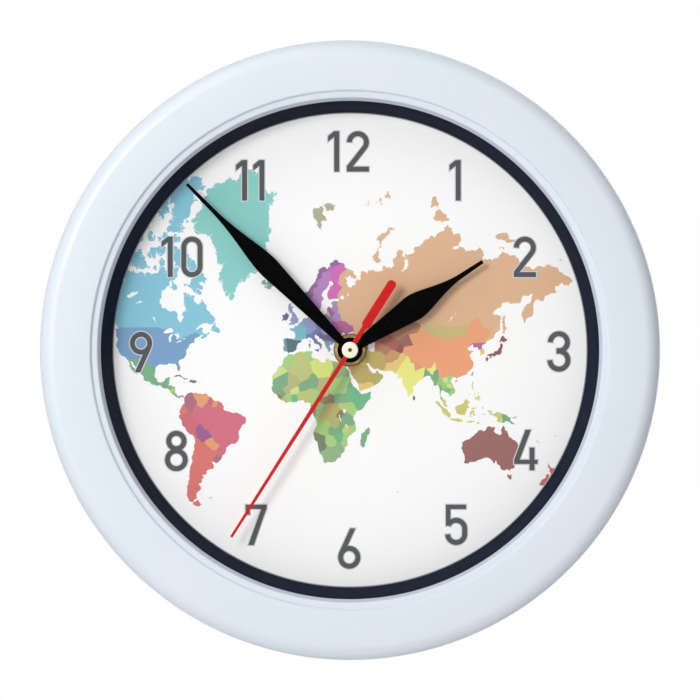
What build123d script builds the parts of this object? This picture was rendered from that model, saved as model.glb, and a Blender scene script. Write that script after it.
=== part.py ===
from build123d import *
import math
import os

# Every piece is drawn in the dial frame: x to the right, y to twelve o'clock, z from the wall to the viewer.
# The parts are turned once on export, so that the dial faces -Y and twelve o'clock is +Z.

# Depths of the case, counted from the wall
WALL_CLEARANCE = 1.0
PANEL_THICKNESS = 2.0
DIAL_THICKNESS = 0.8
LENS_AIR = 2.2
LENS_THICKNESS = 2.0
LIP_THICKNESS = 2.6
STEP_HEIGHT = 1.2
FACE_RISE = 0.6
SKIRT_GAP = 3.0

# Radii of the front, from the dial outward
DIAL_SIGHT_RADIUS = 96.1
SPACER_FLARE = 4.3
LIP_BEVEL = 1.5
LEDGE_WIDTH = 2.6
FACE_WIDTH = 20.5
EDGE_ROLL = 6.0
FACE_SAG = 0.35
SKIRT_DRAFT = 0.6
LENS_OVERLAP = 2.6
LENS_CLEARANCE = 0.25
CASE_WALL = 2.2
WELL_WALL = 2.0
STEP_DRAFT = 0.15
EDGE_SOFTENING = 0.3
EDGE_MATCH = 0.01
SPACER_WALL = 1.2

# Back case
CASE_GAP = 0.4
RIM_WIDTH = 3.0
RIM_SOFTENING = 0.8
RIB_COUNT = 12
RIB_THICKNESS = 1.8
RIB_HEIGHT = 4.0
FENCE_THICKNESS = 1.6
FENCE_HEIGHT = 3.0
FENCE_CLEARANCE = 0.4

# Keyhole pocket at the top of the back case
KEYHOLE_SETBACK = 1.0
KEYHOLE_PLATE = 2.0
KEYHOLE_RADIUS = 4.5
SLOT_WIDTH = 4.6
SLOT_RISE = 9.0
KEYHOLE_INSET = 24.0
POCKET_WIDTH = 26.0
POCKET_MARGIN = 8.0
POCKET_WALL = 2.0

# Case screws
SCREW_COUNT = 6
SCREW_RADIUS = 1.45
SCREW_LENGTH = 12.0
SCREW_HEAD_RADIUS = 2.9
SCREW_HEAD_HEIGHT = 2.0
SCREW_HOLE_CLEARANCE = 0.3
SCREW_FIT = 0.03
BOSS_RADIUS = 3.6
CROSS_LENGTH = 3.4
CROSS_WIDTH = 0.8
CROSS_DEPTH = 1.0

# Quartz movement
MOVEMENT_CORNER = 3.0
PLATE_THICKNESS = 1.4
SHELL_WALL = 1.5
BAY_CLEARANCE = 0.4
CONTACT_ROOM = 1.3
TRAIN_MARGIN = 1.35
TRAIN_REAR_AIR = 2.5
COIL_MARGIN = 2.6
NOTCH_RADIUS = 7.0
GASKET_THICKNESS = 0.8
GASKET_RADIUS = 9.0
PILLAR_RADIUS = 1.8
PILLAR_INSET = 3.6

# Threaded bush and its nut
BUSH_RADIUS = 3.95
BUSH_FLANGE_RADIUS = 6.0
BUSH_FLANGE = 1.0
BUSH_PROUD = 3.2
BUSH_CLEARANCE = 0.2
NUT_ACROSS_FLATS = 10.6
NUT_HEIGHT = 2.2
NUT_WASHER_RADIUS = 6.65
NUT_WASHER = 0.5
THREAD_FIT = 0.05

# Wheel train
WHEEL_THICKNESS = 0.8
LAYER_AIR = 0.6
PINION_OVERHANG = 0.3
PIVOT_DEPTH = 0.7
RUNNING_FIT = 0.05
THIRD_SPACING = 9.5
IDLE_SPACING = 7.0
ROTOR_SPACING = 6.0
MOTION_SPACING = 10.1
THIRD_ANGLE = 20.0
IDLE_ANGLE = 90.0
ROTOR_ANGLE = 120.0
MOTION_ANGLE = 160.0
SMALL_PINION = 8
ROTOR_IDLE_TEETH = 40
SECONDS_TEETH = 48
THIRD_TEETH = 64
CENTRE_TEETH = 60
CANNON_TEETH = 12
MOTION_TEETH = 36
MOTION_PINION_TEETH = 10
HOUR_TEETH = 40
ARBOR_RADIUS = 0.45
SECONDS_ARBOR_RADIUS = 0.5
MINUTE_PIPE_RADIUS = 1.6
HOUR_PIPE_RADIUS = 2.5
STEM_RADIUS = 1.2
CLUTCH_THICKNESS = 0.25
CLUTCH_RADIUS = 3.4
COLLAR_HEIGHT = 0.5
COLLAR_RADIUS = 2.2

# Tooth shape, in modules
WHEEL_ADDENDUM = 0.95
PINION_ADDENDUM = 0.55
ROOT_CLEARANCE = 0.3
WHEEL_SHARE = 0.86
PINION_SHARE = 0.72
FLANK_STEPS = 3

# Setting knob
KNOB_RADIUS = 7.0
KNOB_THICKNESS = 2.0
KNOB_AIR = 0.4
KNOB_GRIPS = 24
KNOB_GRIP_DEPTH = 0.5

# Stepping motor
MAGNET_RADIUS = 2.6
MAGNET_THICKNESS = 1.4
MAGNET_GAP = 0.4
STATOR_THICKNESS = 0.8
STATOR_RING = 1.6
STATOR_ARM = 4.4
STATOR_CLEARANCE = 0.6
COIL_LENGTH = 22.0
COIL_RADIUS = 3.0
COIL_HEIGHT = 20.6
FLANGE_THICKNESS = 1.0
FLANGE_SIZE = 6.6
CORE_WIDTH = 2.6
TUBE_WALL = 0.5
COIL_FIT = 0.05

# Circuit board
BOARD_HEIGHT = 20.0
BOARD_THICKNESS = 1.0
BOARD_EDGE = 0.8
BOARD_CLEARANCE = 2.3
BOARD_STANDOFF = 2.0
STANDOFF_RADIUS = 1.0
STANDOFF_INSET = 2.0
CHIP_RADIUS = 2.6
CHIP_HEIGHT = 1.0
CRYSTAL_RADIUS = 1.0
CRYSTAL_LENGTH = 6.0

# Battery and its contacts
BATTERY_RADIUS = 7.1
BATTERY_LENGTH = 50.4
BATTERY_NUB_RADIUS = 2.7
BATTERY_NUB = 1.2
BATTERY_EDGE = 0.6
BATTERY_FLOOR_AIR = 0.4
CONTACT_THICKNESS = 0.4
CONTACT_WIDTH = 8.0
CONTACT_AIR = 0.15

# Hands
HAND_THICKNESS = 0.6
SECOND_HAND_THICKNESS = 0.4
HAND_FIT = 0.03
HAND_AIR = 0.8
HOUR_LENGTH = 64.5
HOUR_WIDTH = 10.6
HOUR_WIDEST_AT = 30.6
HOUR_ROOT_WIDTH = 3.0
HOUR_TIP_WIDTH = 1.5
HOUR_HUB_RADIUS = 5.1
HOUR_COLLAR_RADIUS = 3.8
MINUTE_LENGTH = 94.0
MINUTE_WIDTH = 8.5
MINUTE_WIDEST_AT = 46.5
MINUTE_ROOT_WIDTH = 2.6
MINUTE_TIP_WIDTH = 1.25
MINUTE_HUB_RADIUS = 4.4
MINUTE_COLLAR_RADIUS = 3.0
SECOND_LENGTH = 89.5
SECOND_ROOT_WIDTH = 1.95
SECOND_TIP_WIDTH = 1.1
SECOND_TAIL = 33.0
SECOND_TAIL_START = 10.9
SECOND_TAIL_WIDTH = 3.7
SECOND_TAIL_CHAMFER = 1.0
SECOND_HUB_RADIUS = 2.9
CAP_RADIUS = 3.3
CAP_HEIGHT = 1.2
CAP_DIMPLE_RADIUS = 0.8
CAP_DIMPLE_DEPTH = 0.4

# Time shown, as turns clockwise from twelve
HOUR_READING = 56.3
MINUTE_READING = 315.5
SECOND_READING = 212.4

# Modules that follow from the centre distances
rotor_module = 2 * ROTOR_SPACING / (ROTOR_IDLE_TEETH + SMALL_PINION)
idle_module = 2 * IDLE_SPACING / (SECONDS_TEETH + SMALL_PINION)
third_module = 2 * THIRD_SPACING / (THIRD_TEETH + SMALL_PINION)
centre_module = 2 * THIRD_SPACING / (CENTRE_TEETH + SMALL_PINION)
cannon_module = 2 * MOTION_SPACING / (MOTION_TEETH + CANNON_TEETH)
hour_module = 2 * MOTION_SPACING / (HOUR_TEETH + MOTION_PINION_TEETH)


def polar(radius, degrees, origin=(0.0, 0.0)):
    """A point at a radius and an angle from the x axis, round a given origin."""
    angle = math.radians(degrees)
    return (origin[0] + radius * math.cos(angle), origin[1] + radius * math.sin(angle))


def wheel_tip(teeth, module):
    """Outside radius of a wheel."""
    return module * (teeth / 2 + WHEEL_ADDENDUM)


# Axes of the wheel train
centre_axis = (0.0, 0.0)
third_axis = polar(THIRD_SPACING, THIRD_ANGLE)
idle_axis = polar(IDLE_SPACING, IDLE_ANGLE)
rotor_axis = polar(ROTOR_SPACING, ROTOR_ANGLE, idle_axis)
motion_axis = polar(MOTION_SPACING, MOTION_ANGLE)

# Depth of the movement: seven layers with air between them, then the two plates
train_depth = BUSH_FLANGE + 7 * WHEEL_THICKNESS + 6.5 * LAYER_AIR + TRAIN_REAR_AIR
movement_depth = train_depth + 2 * PLATE_THICKNESS
knob_back = WALL_CLEARANCE
knob_front = knob_back + KNOB_THICKNESS
movement_rear = knob_front + KNOB_AIR
movement_front = movement_rear + movement_depth
chamber_rear = movement_rear + PLATE_THICKNESS
chamber_front = movement_front - PLATE_THICKNESS
pivot_rear = chamber_rear - PIVOT_DEPTH

# Outline of the movement: as wide as the battery needs, as high as the bay, the wheels and the coil
inner_half = BATTERY_LENGTH / 2 + CONTACT_ROOM
half_movement = inner_half + SHELL_WALL
chamber_low = -max(wheel_tip(CENTRE_TEETH, centre_module), wheel_tip(HOUR_TEETH, hour_module)) - TRAIN_MARGIN
chamber_high = COIL_HEIGHT + FLANGE_SIZE / 2 + COIL_MARGIN
bay_high = chamber_low - SHELL_WALL
bay_low = bay_high - 2 * (BATTERY_RADIUS + BAY_CLEARANCE)
movement_low = bay_low - SHELL_WALL
movement_high = chamber_high + SHELL_WALL
movement_middle = (movement_low + movement_high) / 2
movement_height = movement_high - movement_low
battery_y = (bay_low + bay_high) / 2
battery_z = chamber_front - BATTERY_FLOOR_AIR - BATTERY_RADIUS

# Wheel layers, stacked back from the flange of the bush
hour_wheel_front = chamber_front - BUSH_FLANGE - LAYER_AIR / 2
hour_wheel_back = hour_wheel_front - WHEEL_THICKNESS
motion_wheel_front = hour_wheel_back - LAYER_AIR
motion_wheel_back = motion_wheel_front - WHEEL_THICKNESS
centre_wheel_front = motion_wheel_back - LAYER_AIR
centre_wheel_back = centre_wheel_front - WHEEL_THICKNESS
third_wheel_front = centre_wheel_back - LAYER_AIR
third_wheel_back = third_wheel_front - WHEEL_THICKNESS
bridge_front = third_wheel_back - LAYER_AIR
bridge_back = bridge_front - WHEEL_THICKNESS
seconds_wheel_front = bridge_back - LAYER_AIR
seconds_wheel_back = seconds_wheel_front - WHEEL_THICKNESS
idle_wheel_front = seconds_wheel_back - LAYER_AIR
idle_wheel_back = idle_wheel_front - WHEEL_THICKNESS

# Depths of the panel and the dial
panel_back = movement_front + GASKET_THICKNESS
panel_front = panel_back + PANEL_THICKNESS
dial_front = panel_front + DIAL_THICKNESS

# Levels of the hand pipes and hands, forward from the nut
nut_washer_front = dial_front + NUT_WASHER
nut_front = nut_washer_front + NUT_HEIGHT
bush_front = dial_front + BUSH_PROUD
hour_collar_back = max(nut_front, bush_front) + HAND_AIR
hour_hand_back = hour_collar_back + COLLAR_HEIGHT
hour_hand_front = hour_hand_back + HAND_THICKNESS
hour_pipe_front = hour_hand_front + HAND_AIR / 2
minute_collar_back = hour_pipe_front + HAND_AIR / 2
minute_hand_back = minute_collar_back + COLLAR_HEIGHT
minute_hand_front = minute_hand_back + HAND_THICKNESS
minute_pipe_front = minute_hand_front + HAND_AIR / 2
second_hand_back = minute_pipe_front + HAND_AIR
second_hand_front = second_hand_back + SECOND_HAND_THICKNESS
cap_front = second_hand_front + CAP_HEIGHT

# Depths of the lens and the bezel
lens_back = cap_front + LENS_AIR
lens_front = lens_back + LENS_THICKNESS
ledge_front = lens_front + LIP_THICKNESS
step_front = ledge_front + STEP_HEIGHT
bezel_front = step_front + FACE_RISE

# Radii that follow from the front
opening_radius = DIAL_SIGHT_RADIUS + SPACER_FLARE
sight_radius = opening_radius + LIP_BEVEL
step_radius = sight_radius + LEDGE_WIDTH
case_radius = step_radius + FACE_WIDTH
crown_radius = case_radius - EDGE_ROLL
lens_radius = opening_radius + LENS_OVERLAP
well_radius = lens_radius + LENS_CLEARANCE
well_outer = well_radius + WELL_WALL
skirt_radius = case_radius - SKIRT_DRAFT
rim_outer = skirt_radius - CASE_WALL - CASE_GAP
rim_inner = rim_outer - RIM_WIDTH
screw_circle = (well_outer + rim_inner) / 2


def disc(radius, low, high, at=centre_axis):
    """A round bar along z between two levels."""
    body = Cylinder(radius, high - low, align=(Align.CENTER, Align.CENTER, Align.MIN))
    return Pos(at[0], at[1], low) * body


def ring(outer, inner, low, high, at=centre_axis):
    """A tube along z between two levels."""
    return disc(outer, low, high, at) - disc(inner, low, high, at)


def block(x_span, y_span, z_span):
    """A box between pairs of limits."""
    size = Box(
        x_span[1] - x_span[0],
        y_span[1] - y_span[0],
        z_span[1] - z_span[0],
        align=(Align.MIN, Align.MIN, Align.MIN),
    )
    return Pos(x_span[0], y_span[0], z_span[0]) * size


def prism(points, low, high):
    """A straight-sided outline carried between two levels."""
    return Pos(0, 0, low) * extrude(make_face(Polyline(*points, close=True)), high - low)


def turned(points):
    """A closed outline of radius and level, turned round the clock axis."""
    return revolve(Plane.XZ * make_face(Polyline(*points, close=True)), Axis.Z)


def epicycloid_turn(pitch, roll, rise):
    """Angle an epicycloid has turned by where it has climbed a given height above its pitch circle."""
    ratio = (pitch + roll) / roll
    low = 0.0
    high = math.pi / ratio
    turn = 0.0
    for _ in range(40):
        middle = (low + high) / 2
        x = (pitch + roll) * math.cos(middle) - roll * math.cos(ratio * middle)
        y = (pitch + roll) * math.sin(middle) - roll * math.sin(ratio * middle)
        turn = math.atan2(y, x)
        if math.hypot(x, y) < pitch + rise:
            low = middle
        else:
            high = middle
    return math.degrees(turn)


def repeat_tooth(tooth, teeth, start, origin):
    """Points of a whole rim from one tooth given as radius and angle pairs."""
    points = []
    for index in range(teeth):
        for radius, angle in tooth:
            points.append(polar(radius, start + angle + 360.0 * index / teeth, origin))
    return points


def wheel(teeth, mate, module, toward, low, high, at):
    """A clock wheel with epicycloid tips and one tooth pointing at its mate."""
    pitch = module * teeth / 2
    roll = module * mate / 4
    half = 90.0 / teeth * WHEEL_SHARE
    root = pitch - (PINION_ADDENDUM + ROOT_CLEARANCE) * module
    flank = []
    for step in range(FLANK_STEPS + 1):
        rise = WHEEL_ADDENDUM * module * step / FLANK_STEPS
        flank.append((pitch + rise, epicycloid_turn(pitch, roll, rise) - half))
    far_side = [(radius, -angle) for radius, angle in reversed(flank)]
    tooth = [(root, -half)] + flank + far_side + [(root, half)]
    return prism(repeat_tooth(tooth, teeth, toward, at), low, high)


def pinion(teeth, module, toward, low, high, at):
    """A clock pinion with radial flanks, round tips and one gap facing its mate."""
    pitch = module * teeth / 2
    half = 90.0 / teeth * PINION_SHARE
    root = pitch - (WHEEL_ADDENDUM + ROOT_CLEARANCE) * module
    tip = []
    for lean in (-90.0, -45.0, 0.0, 45.0, 90.0):
        rise = PINION_ADDENDUM * module * math.cos(math.radians(lean))
        tip.append((pitch + rise, half * math.sin(math.radians(lean))))
    tooth = [(root, -half)] + tip + [(root, half)]
    return prism(repeat_tooth(tooth, teeth, toward + 180.0 / teeth, at), low, high)


def bezel():
    """The front ring: rolled outer edge, shallow face, stepped lip, lens well and screw bosses."""
    middle_radius = (step_radius + crown_radius) / 2
    middle_front = (step_front + bezel_front) / 2 - FACE_SAG
    roll_centre = bezel_front - EDGE_ROLL
    inner_roll = EDGE_ROLL - CASE_WALL
    slant = EDGE_ROLL * math.sqrt(0.5)
    inner_slant = inner_roll * math.sqrt(0.5)
    step_top = (step_radius + STEP_DRAFT, step_front)
    outline = [
        Polyline(
            (well_radius, panel_front),
            (well_radius, lens_front),
            (opening_radius, lens_front),
            (sight_radius, ledge_front),
            (step_radius, ledge_front),
            step_top,
        ),
        ThreePointArc(step_top, (middle_radius, middle_front), (crown_radius, bezel_front)),
        ThreePointArc(
            (crown_radius, bezel_front),
            (crown_radius + slant, roll_centre + slant),
            (case_radius, roll_centre),
        ),
        Polyline(
            (case_radius, roll_centre),
            (skirt_radius, SKIRT_GAP),
            (skirt_radius - CASE_WALL, SKIRT_GAP),
            (case_radius - CASE_WALL, roll_centre),
        ),
        ThreePointArc(
            (case_radius - CASE_WALL, roll_centre),
            (crown_radius + inner_slant, roll_centre + inner_slant),
            (crown_radius, bezel_front - CASE_WALL),
        ),
        Polyline(
            (crown_radius, bezel_front - CASE_WALL),
            (well_outer, step_front - CASE_WALL),
            (well_outer, panel_front),
            (well_radius, panel_front),
        ),
    ]
    body = revolve(Plane.XZ * make_face(outline), Axis.Z)
    for angle in screw_angles():
        at = polar(screw_circle, angle)
        body += disc(BOSS_RADIUS, panel_front, step_front - CASE_WALL / 2, at)
    for angle in screw_angles():
        at = polar(screw_circle, angle)
        body -= disc(SCREW_RADIUS + SCREW_FIT, panel_front, panel_back + SCREW_LENGTH, at)
    softened = []
    for edge in body.edges().filter_by(GeomType.CIRCLE):
        on_lip = abs(edge.radius - sight_radius) < EDGE_MATCH
        on_step = abs(edge.radius - step_top[0]) < EDGE_MATCH and edge.center().Z > ledge_front
        if on_lip or on_step:
            softened.append(edge)
    return fillet(softened, EDGE_SOFTENING)


def screw_angles():
    """Places of the case screws round the rim."""
    return [360.0 * index / SCREW_COUNT for index in range(SCREW_COUNT)]


def lens():
    """The clear disc clamped between the lip and the spacer ring."""
    return disc(lens_radius, lens_back, lens_front)


def spacer_ring():
    """The dark flared ring between dial and lens."""
    outline = [
        (DIAL_SIGHT_RADIUS, dial_front),
        (opening_radius, lens_back),
        (lens_radius, lens_back),
        (lens_radius, lens_back - SPACER_WALL),
        (opening_radius + SPACER_WALL, lens_back - SPACER_WALL),
        (DIAL_SIGHT_RADIUS + SPACER_WALL, dial_front),
    ]
    return turned(outline)


def dial():
    """The printed card over the panel."""
    return ring(lens_radius, BUSH_RADIUS + BUSH_CLEARANCE, panel_front, dial_front)


def around_movement(margin, levels):
    """A block that stands a margin proud of the movement on all four sides."""
    x_span = (-half_movement - margin, half_movement + margin)
    return block(x_span, (movement_low - margin, movement_high + margin), levels)


def back_case():
    """The moulded back: panel, rim, ribs, movement fence and keyhole pocket."""
    outline = [
        (BUSH_RADIUS + BUSH_CLEARANCE, panel_back),
        (rim_inner, panel_back),
        (rim_inner, RIM_SOFTENING),
        (rim_inner + RIM_SOFTENING, 0.0),
        (rim_outer - RIM_SOFTENING, 0.0),
        (rim_outer, RIM_SOFTENING),
        (rim_outer, panel_front),
        (BUSH_RADIUS + BUSH_CLEARANCE, panel_front),
    ]
    body = turned(outline)
    fence_outer = FENCE_CLEARANCE + FENCE_THICKNESS
    tallest = max(movement_high, -movement_low) + fence_outer
    rib_start = math.hypot(half_movement + fence_outer, tallest)
    rib_end = (rim_inner + rim_outer) / 2
    rib = block(
        (rib_start, rib_end),
        (-RIB_THICKNESS / 2, RIB_THICKNESS / 2),
        (panel_back - RIB_HEIGHT, panel_back + PANEL_THICKNESS / 2),
    )
    for index in range(RIB_COUNT):
        body += Rot(0, 0, 360.0 * (index + 0.5) / RIB_COUNT) * rib
    fence_span = (panel_back - FENCE_HEIGHT, panel_back)
    body += around_movement(fence_outer, fence_span) - around_movement(FENCE_CLEARANCE, fence_span)
    hole_y = rim_inner - KEYHOLE_INSET
    slot_y = hole_y + SLOT_RISE
    pocket_x = (-POCKET_WIDTH / 2, POCKET_WIDTH / 2)
    pocket_y = (hole_y - KEYHOLE_RADIUS - POCKET_MARGIN, slot_y + POCKET_MARGIN)
    plate_front = KEYHOLE_SETBACK + KEYHOLE_PLATE
    body += block(pocket_x, pocket_y, (KEYHOLE_SETBACK, panel_back + PANEL_THICKNESS / 2))
    body -= block(
        (pocket_x[0] + POCKET_WALL, pocket_x[1] - POCKET_WALL),
        (pocket_y[0] + POCKET_WALL, pocket_y[1] - POCKET_WALL),
        (plate_front, panel_front),
    )
    slot_top = (0.0, slot_y)
    body -= disc(KEYHOLE_RADIUS, KEYHOLE_SETBACK, plate_front, (0.0, hole_y))
    body -= disc(SLOT_WIDTH / 2, KEYHOLE_SETBACK, plate_front, slot_top)
    body -= block((-SLOT_WIDTH / 2, SLOT_WIDTH / 2), (hole_y, slot_y), (KEYHOLE_SETBACK, plate_front))
    for angle in screw_angles():
        at = polar(screw_circle, angle)
        body -= disc(SCREW_RADIUS + SCREW_HOLE_CLEARANCE, panel_back, panel_front, at)
    return body


def case_screws():
    """Cross-head screws that hold the bezel to the back case."""
    head = disc(SCREW_HEAD_RADIUS, panel_back - SCREW_HEAD_HEIGHT, panel_back)
    head = chamfer(head.edges().sort_by(Axis.Z)[0], SCREW_HEAD_HEIGHT / 4)
    cut = (panel_back - SCREW_HEAD_HEIGHT, panel_back - SCREW_HEAD_HEIGHT + CROSS_DEPTH)
    long_span = (-CROSS_LENGTH / 2, CROSS_LENGTH / 2)
    short_span = (-CROSS_WIDTH / 2, CROSS_WIDTH / 2)
    head -= block(long_span, short_span, cut)
    head -= block(short_span, long_span, cut)
    screw = head + disc(SCREW_RADIUS, panel_back, panel_back + SCREW_LENGTH)
    screws = []
    for angle in screw_angles():
        x, y = polar(screw_circle, angle)
        screws.append(Pos(x, y, 0) * Rot(0, 0, angle) * screw)
    return screws


def rubber_washer():
    """The soft washer between movement and panel."""
    return ring(GASKET_RADIUS, BUSH_RADIUS + BUSH_CLEARANCE, movement_front, panel_back)


def threaded_bush():
    """The flanged brass bush that carries the hour pipe and takes the nut."""
    flange = disc(BUSH_FLANGE_RADIUS, chamber_front - BUSH_FLANGE, chamber_front)
    shank = disc(BUSH_RADIUS, chamber_front, bush_front)
    return flange + shank - disc(HOUR_PIPE_RADIUS + RUNNING_FIT, chamber_front - BUSH_FLANGE, bush_front)


def nut_washer():
    """The brass washer on the dial."""
    return ring(NUT_WASHER_RADIUS, BUSH_RADIUS + BUSH_CLEARANCE, dial_front, nut_washer_front)


def hex_nut():
    """The brass nut on the bush."""
    hexagon = extrude(RegularPolygon(NUT_ACROSS_FLATS / 2, 6, major_radius=False), NUT_HEIGHT)
    body = Pos(0, 0, nut_washer_front) * hexagon
    return body - disc(BUSH_RADIUS + THREAD_FIT, nut_washer_front, nut_front)


def movement_block(low, high):
    """The full outline of the movement between two levels."""
    outline = RectangleRounded(2 * half_movement, movement_height, MOVEMENT_CORNER)
    return Pos(0, movement_middle, low) * extrude(outline, high - low)


def movement_front_case():
    """The tray of the movement with the wheel chamber, the battery bay and four pillars."""
    body = movement_block(movement_rear, movement_front)
    inner_x = (-inner_half, inner_half)
    body -= block(inner_x, (chamber_low, chamber_high), (movement_rear, chamber_front))
    body -= block(inner_x, (bay_low, bay_high), (movement_rear, chamber_front))
    body -= block((-half_movement, half_movement), (bay_high, movement_high), (movement_rear, chamber_rear))
    body -= Pos(0, bay_low, movement_rear) * Rot(90, 0, 0) * Cylinder(NOTCH_RADIUS, 4 * SHELL_WALL)
    for at in pillar_places():
        body += disc(PILLAR_RADIUS, bridge_front, chamber_front, at)
    body -= disc(BUSH_RADIUS + THREAD_FIT, chamber_front, movement_front)
    body -= disc(ARBOR_RADIUS + RUNNING_FIT, chamber_front, chamber_front + PIVOT_DEPTH, third_axis)
    body -= disc(STEM_RADIUS + RUNNING_FIT, chamber_front, chamber_front + PIVOT_DEPTH, motion_axis)
    return body


def pillar_places():
    """Four posts that carry the middle plate."""
    reach = inner_half - PILLAR_INSET
    low = chamber_low + PILLAR_INSET
    high = COIL_HEIGHT - FLANGE_SIZE / 2 - PILLAR_INSET
    return [(-reach, low), (reach, low), (-reach, high), (reach, high)]


def movement_rear_cover():
    """The lid over the wheel chamber with the rear pivot holes."""
    body = movement_block(movement_rear, chamber_rear)
    body -= block((-half_movement, half_movement), (movement_low, bay_high), (movement_rear, chamber_rear))
    body -= disc(STEM_RADIUS + RUNNING_FIT, movement_rear, chamber_rear, motion_axis)
    body -= disc(SECONDS_ARBOR_RADIUS + RUNNING_FIT, pivot_rear, chamber_rear)
    for at in (third_axis, idle_axis, rotor_axis):
        body -= disc(ARBOR_RADIUS + RUNNING_FIT, pivot_rear, chamber_rear, at)
    return body


def middle_plate():
    """The bridge that holds the front pivots of the fast wheels and carries the circuit board."""
    top = COIL_HEIGHT - FLANGE_SIZE / 2 - LAYER_AIR
    side = inner_half - LAYER_AIR
    body = block((-side, side), (chamber_low + LAYER_AIR, top), (bridge_back, bridge_front))
    body -= disc(SECONDS_ARBOR_RADIUS + RUNNING_FIT, bridge_back, bridge_front)
    body -= disc(ARBOR_RADIUS + RUNNING_FIT, bridge_back, bridge_front, third_axis)
    body -= disc(STEM_RADIUS + LAYER_AIR, bridge_back, bridge_front, motion_axis)
    for at in (idle_axis, rotor_axis):
        body -= disc(ARBOR_RADIUS + RUNNING_FIT, bridge_back, bridge_front, at)
    for at in standoff_places():
        body += disc(STANDOFF_RADIUS, bridge_back - BOARD_STANDOFF, bridge_back, at)
    return body


def board_limits():
    """Limits of the circuit board in x and y."""
    left = third_axis[0] + ARBOR_RADIUS + BOARD_CLEARANCE
    low = chamber_low + BOARD_EDGE
    return (left, inner_half - BOARD_EDGE), (low, low + BOARD_HEIGHT)


def standoff_places():
    """Two pegs that the circuit board rests on."""
    x_span, y_span = board_limits()
    right = x_span[1] - STANDOFF_INSET
    return [(right, y_span[0] + STANDOFF_INSET), (right, y_span[1] - STANDOFF_INSET)]


def circuit_board():
    """The board with the timing chip, beside the wheels."""
    x_span, y_span = board_limits()
    front = bridge_back - BOARD_STANDOFF
    return block(x_span, y_span, (front - BOARD_THICKNESS, front))


def board_place(share_x, share_y):
    """A point on the circuit board at shares of its width and height."""
    x_span, y_span = board_limits()
    return (x_span[0] + share_x * (x_span[1] - x_span[0]), y_span[0] + share_y * BOARD_HEIGHT)


def timing_chip():
    """The sealing drop over the chip, a shallow cone frustum."""
    rear = bridge_back - BOARD_STANDOFF - BOARD_THICKNESS
    drop = Cone(CHIP_RADIUS / 2, CHIP_RADIUS, CHIP_HEIGHT, align=(Align.CENTER, Align.CENTER, Align.MAX))
    x, y = board_place(0.5, 0.3)
    return Pos(x, y, rear) * drop


def quartz_crystal():
    """The small can of the tuning-fork crystal, lying on the board."""
    rear = bridge_back - BOARD_STANDOFF - BOARD_THICKNESS
    x, y = board_place(0.5, 0.75)
    return Pos(x, y, rear - CRYSTAL_RADIUS) * Rot(0, 90, 0) * Cylinder(CRYSTAL_RADIUS, CRYSTAL_LENGTH)


def rotor_pinion():
    """The rotor arbor with its pinion and the seat of the magnet."""
    toward = ROTOR_ANGLE + 180.0
    back = idle_wheel_back - PINION_OVERHANG
    front = idle_wheel_front + PINION_OVERHANG / 2
    body = pinion(SMALL_PINION, rotor_module, toward, back, front, rotor_axis)
    return body + disc(ARBOR_RADIUS, pivot_rear + RUNNING_FIT, bridge_front - RUNNING_FIT, rotor_axis)


def motor_level():
    """Middle level of the stator, the magnet and the coil."""
    return (seconds_wheel_front + seconds_wheel_back) / 2


def rotor_magnet():
    """The round magnet on the rotor arbor."""
    middle = motor_level()
    half = MAGNET_THICKNESS / 2
    return ring(MAGNET_RADIUS, ARBOR_RADIUS + HAND_FIT, middle - half, middle + half, rotor_axis)


def idle_wheel():
    """The first reduction wheel behind the rotor, moulded with its pinion."""
    body = wheel(
        ROTOR_IDLE_TEETH,
        SMALL_PINION,
        rotor_module,
        ROTOR_ANGLE,
        idle_wheel_back,
        idle_wheel_front,
        idle_axis,
    )
    front = seconds_wheel_front + PINION_OVERHANG
    body += pinion(SMALL_PINION, idle_module, IDLE_ANGLE + 180.0, idle_wheel_front, front, idle_axis)
    return body + disc(ARBOR_RADIUS, pivot_rear + RUNNING_FIT, bridge_front - RUNNING_FIT, idle_axis)


def seconds_wheel():
    """The wheel on the second-hand arbor, behind the middle plate."""
    body = wheel(
        SECONDS_TEETH,
        SMALL_PINION,
        idle_module,
        IDLE_ANGLE,
        seconds_wheel_back,
        seconds_wheel_front,
        centre_axis,
    )
    return body - disc(SECONDS_ARBOR_RADIUS + HAND_FIT, seconds_wheel_back, seconds_wheel_front)


def seconds_pinion():
    """The pinion on the second-hand arbor in front of the middle plate."""
    back = bridge_front + PINION_OVERHANG
    front = third_wheel_front + PINION_OVERHANG / 2
    body = pinion(SMALL_PINION, third_module, THIRD_ANGLE, back, front, centre_axis)
    return body - disc(SECONDS_ARBOR_RADIUS + HAND_FIT, back, front)


def seconds_arbor():
    """The long steel arbor of the second hand."""
    return disc(SECONDS_ARBOR_RADIUS, pivot_rear + RUNNING_FIT, cap_front - CAP_DIMPLE_DEPTH)


def third_wheel():
    """The wheel between seconds and minutes, moulded with its pinion."""
    body = wheel(
        THIRD_TEETH,
        SMALL_PINION,
        third_module,
        THIRD_ANGLE + 180.0,
        third_wheel_back,
        third_wheel_front,
        third_axis,
    )
    front = centre_wheel_front + PINION_OVERHANG
    toward = THIRD_ANGLE + 180.0
    body += pinion(SMALL_PINION, centre_module, toward, third_wheel_front, front, third_axis)
    end = chamber_front + PIVOT_DEPTH - RUNNING_FIT
    return body + disc(ARBOR_RADIUS, pivot_rear + RUNNING_FIT, end, third_axis)


def centre_wheel():
    """The minute wheel, free to slip on the minute arbor when the hands are set."""
    body = wheel(
        CENTRE_TEETH,
        SMALL_PINION,
        centre_module,
        THIRD_ANGLE,
        centre_wheel_back,
        centre_wheel_front,
        centre_axis,
    )
    return body - disc(MINUTE_PIPE_RADIUS + RUNNING_FIT, centre_wheel_back, centre_wheel_front)


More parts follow.
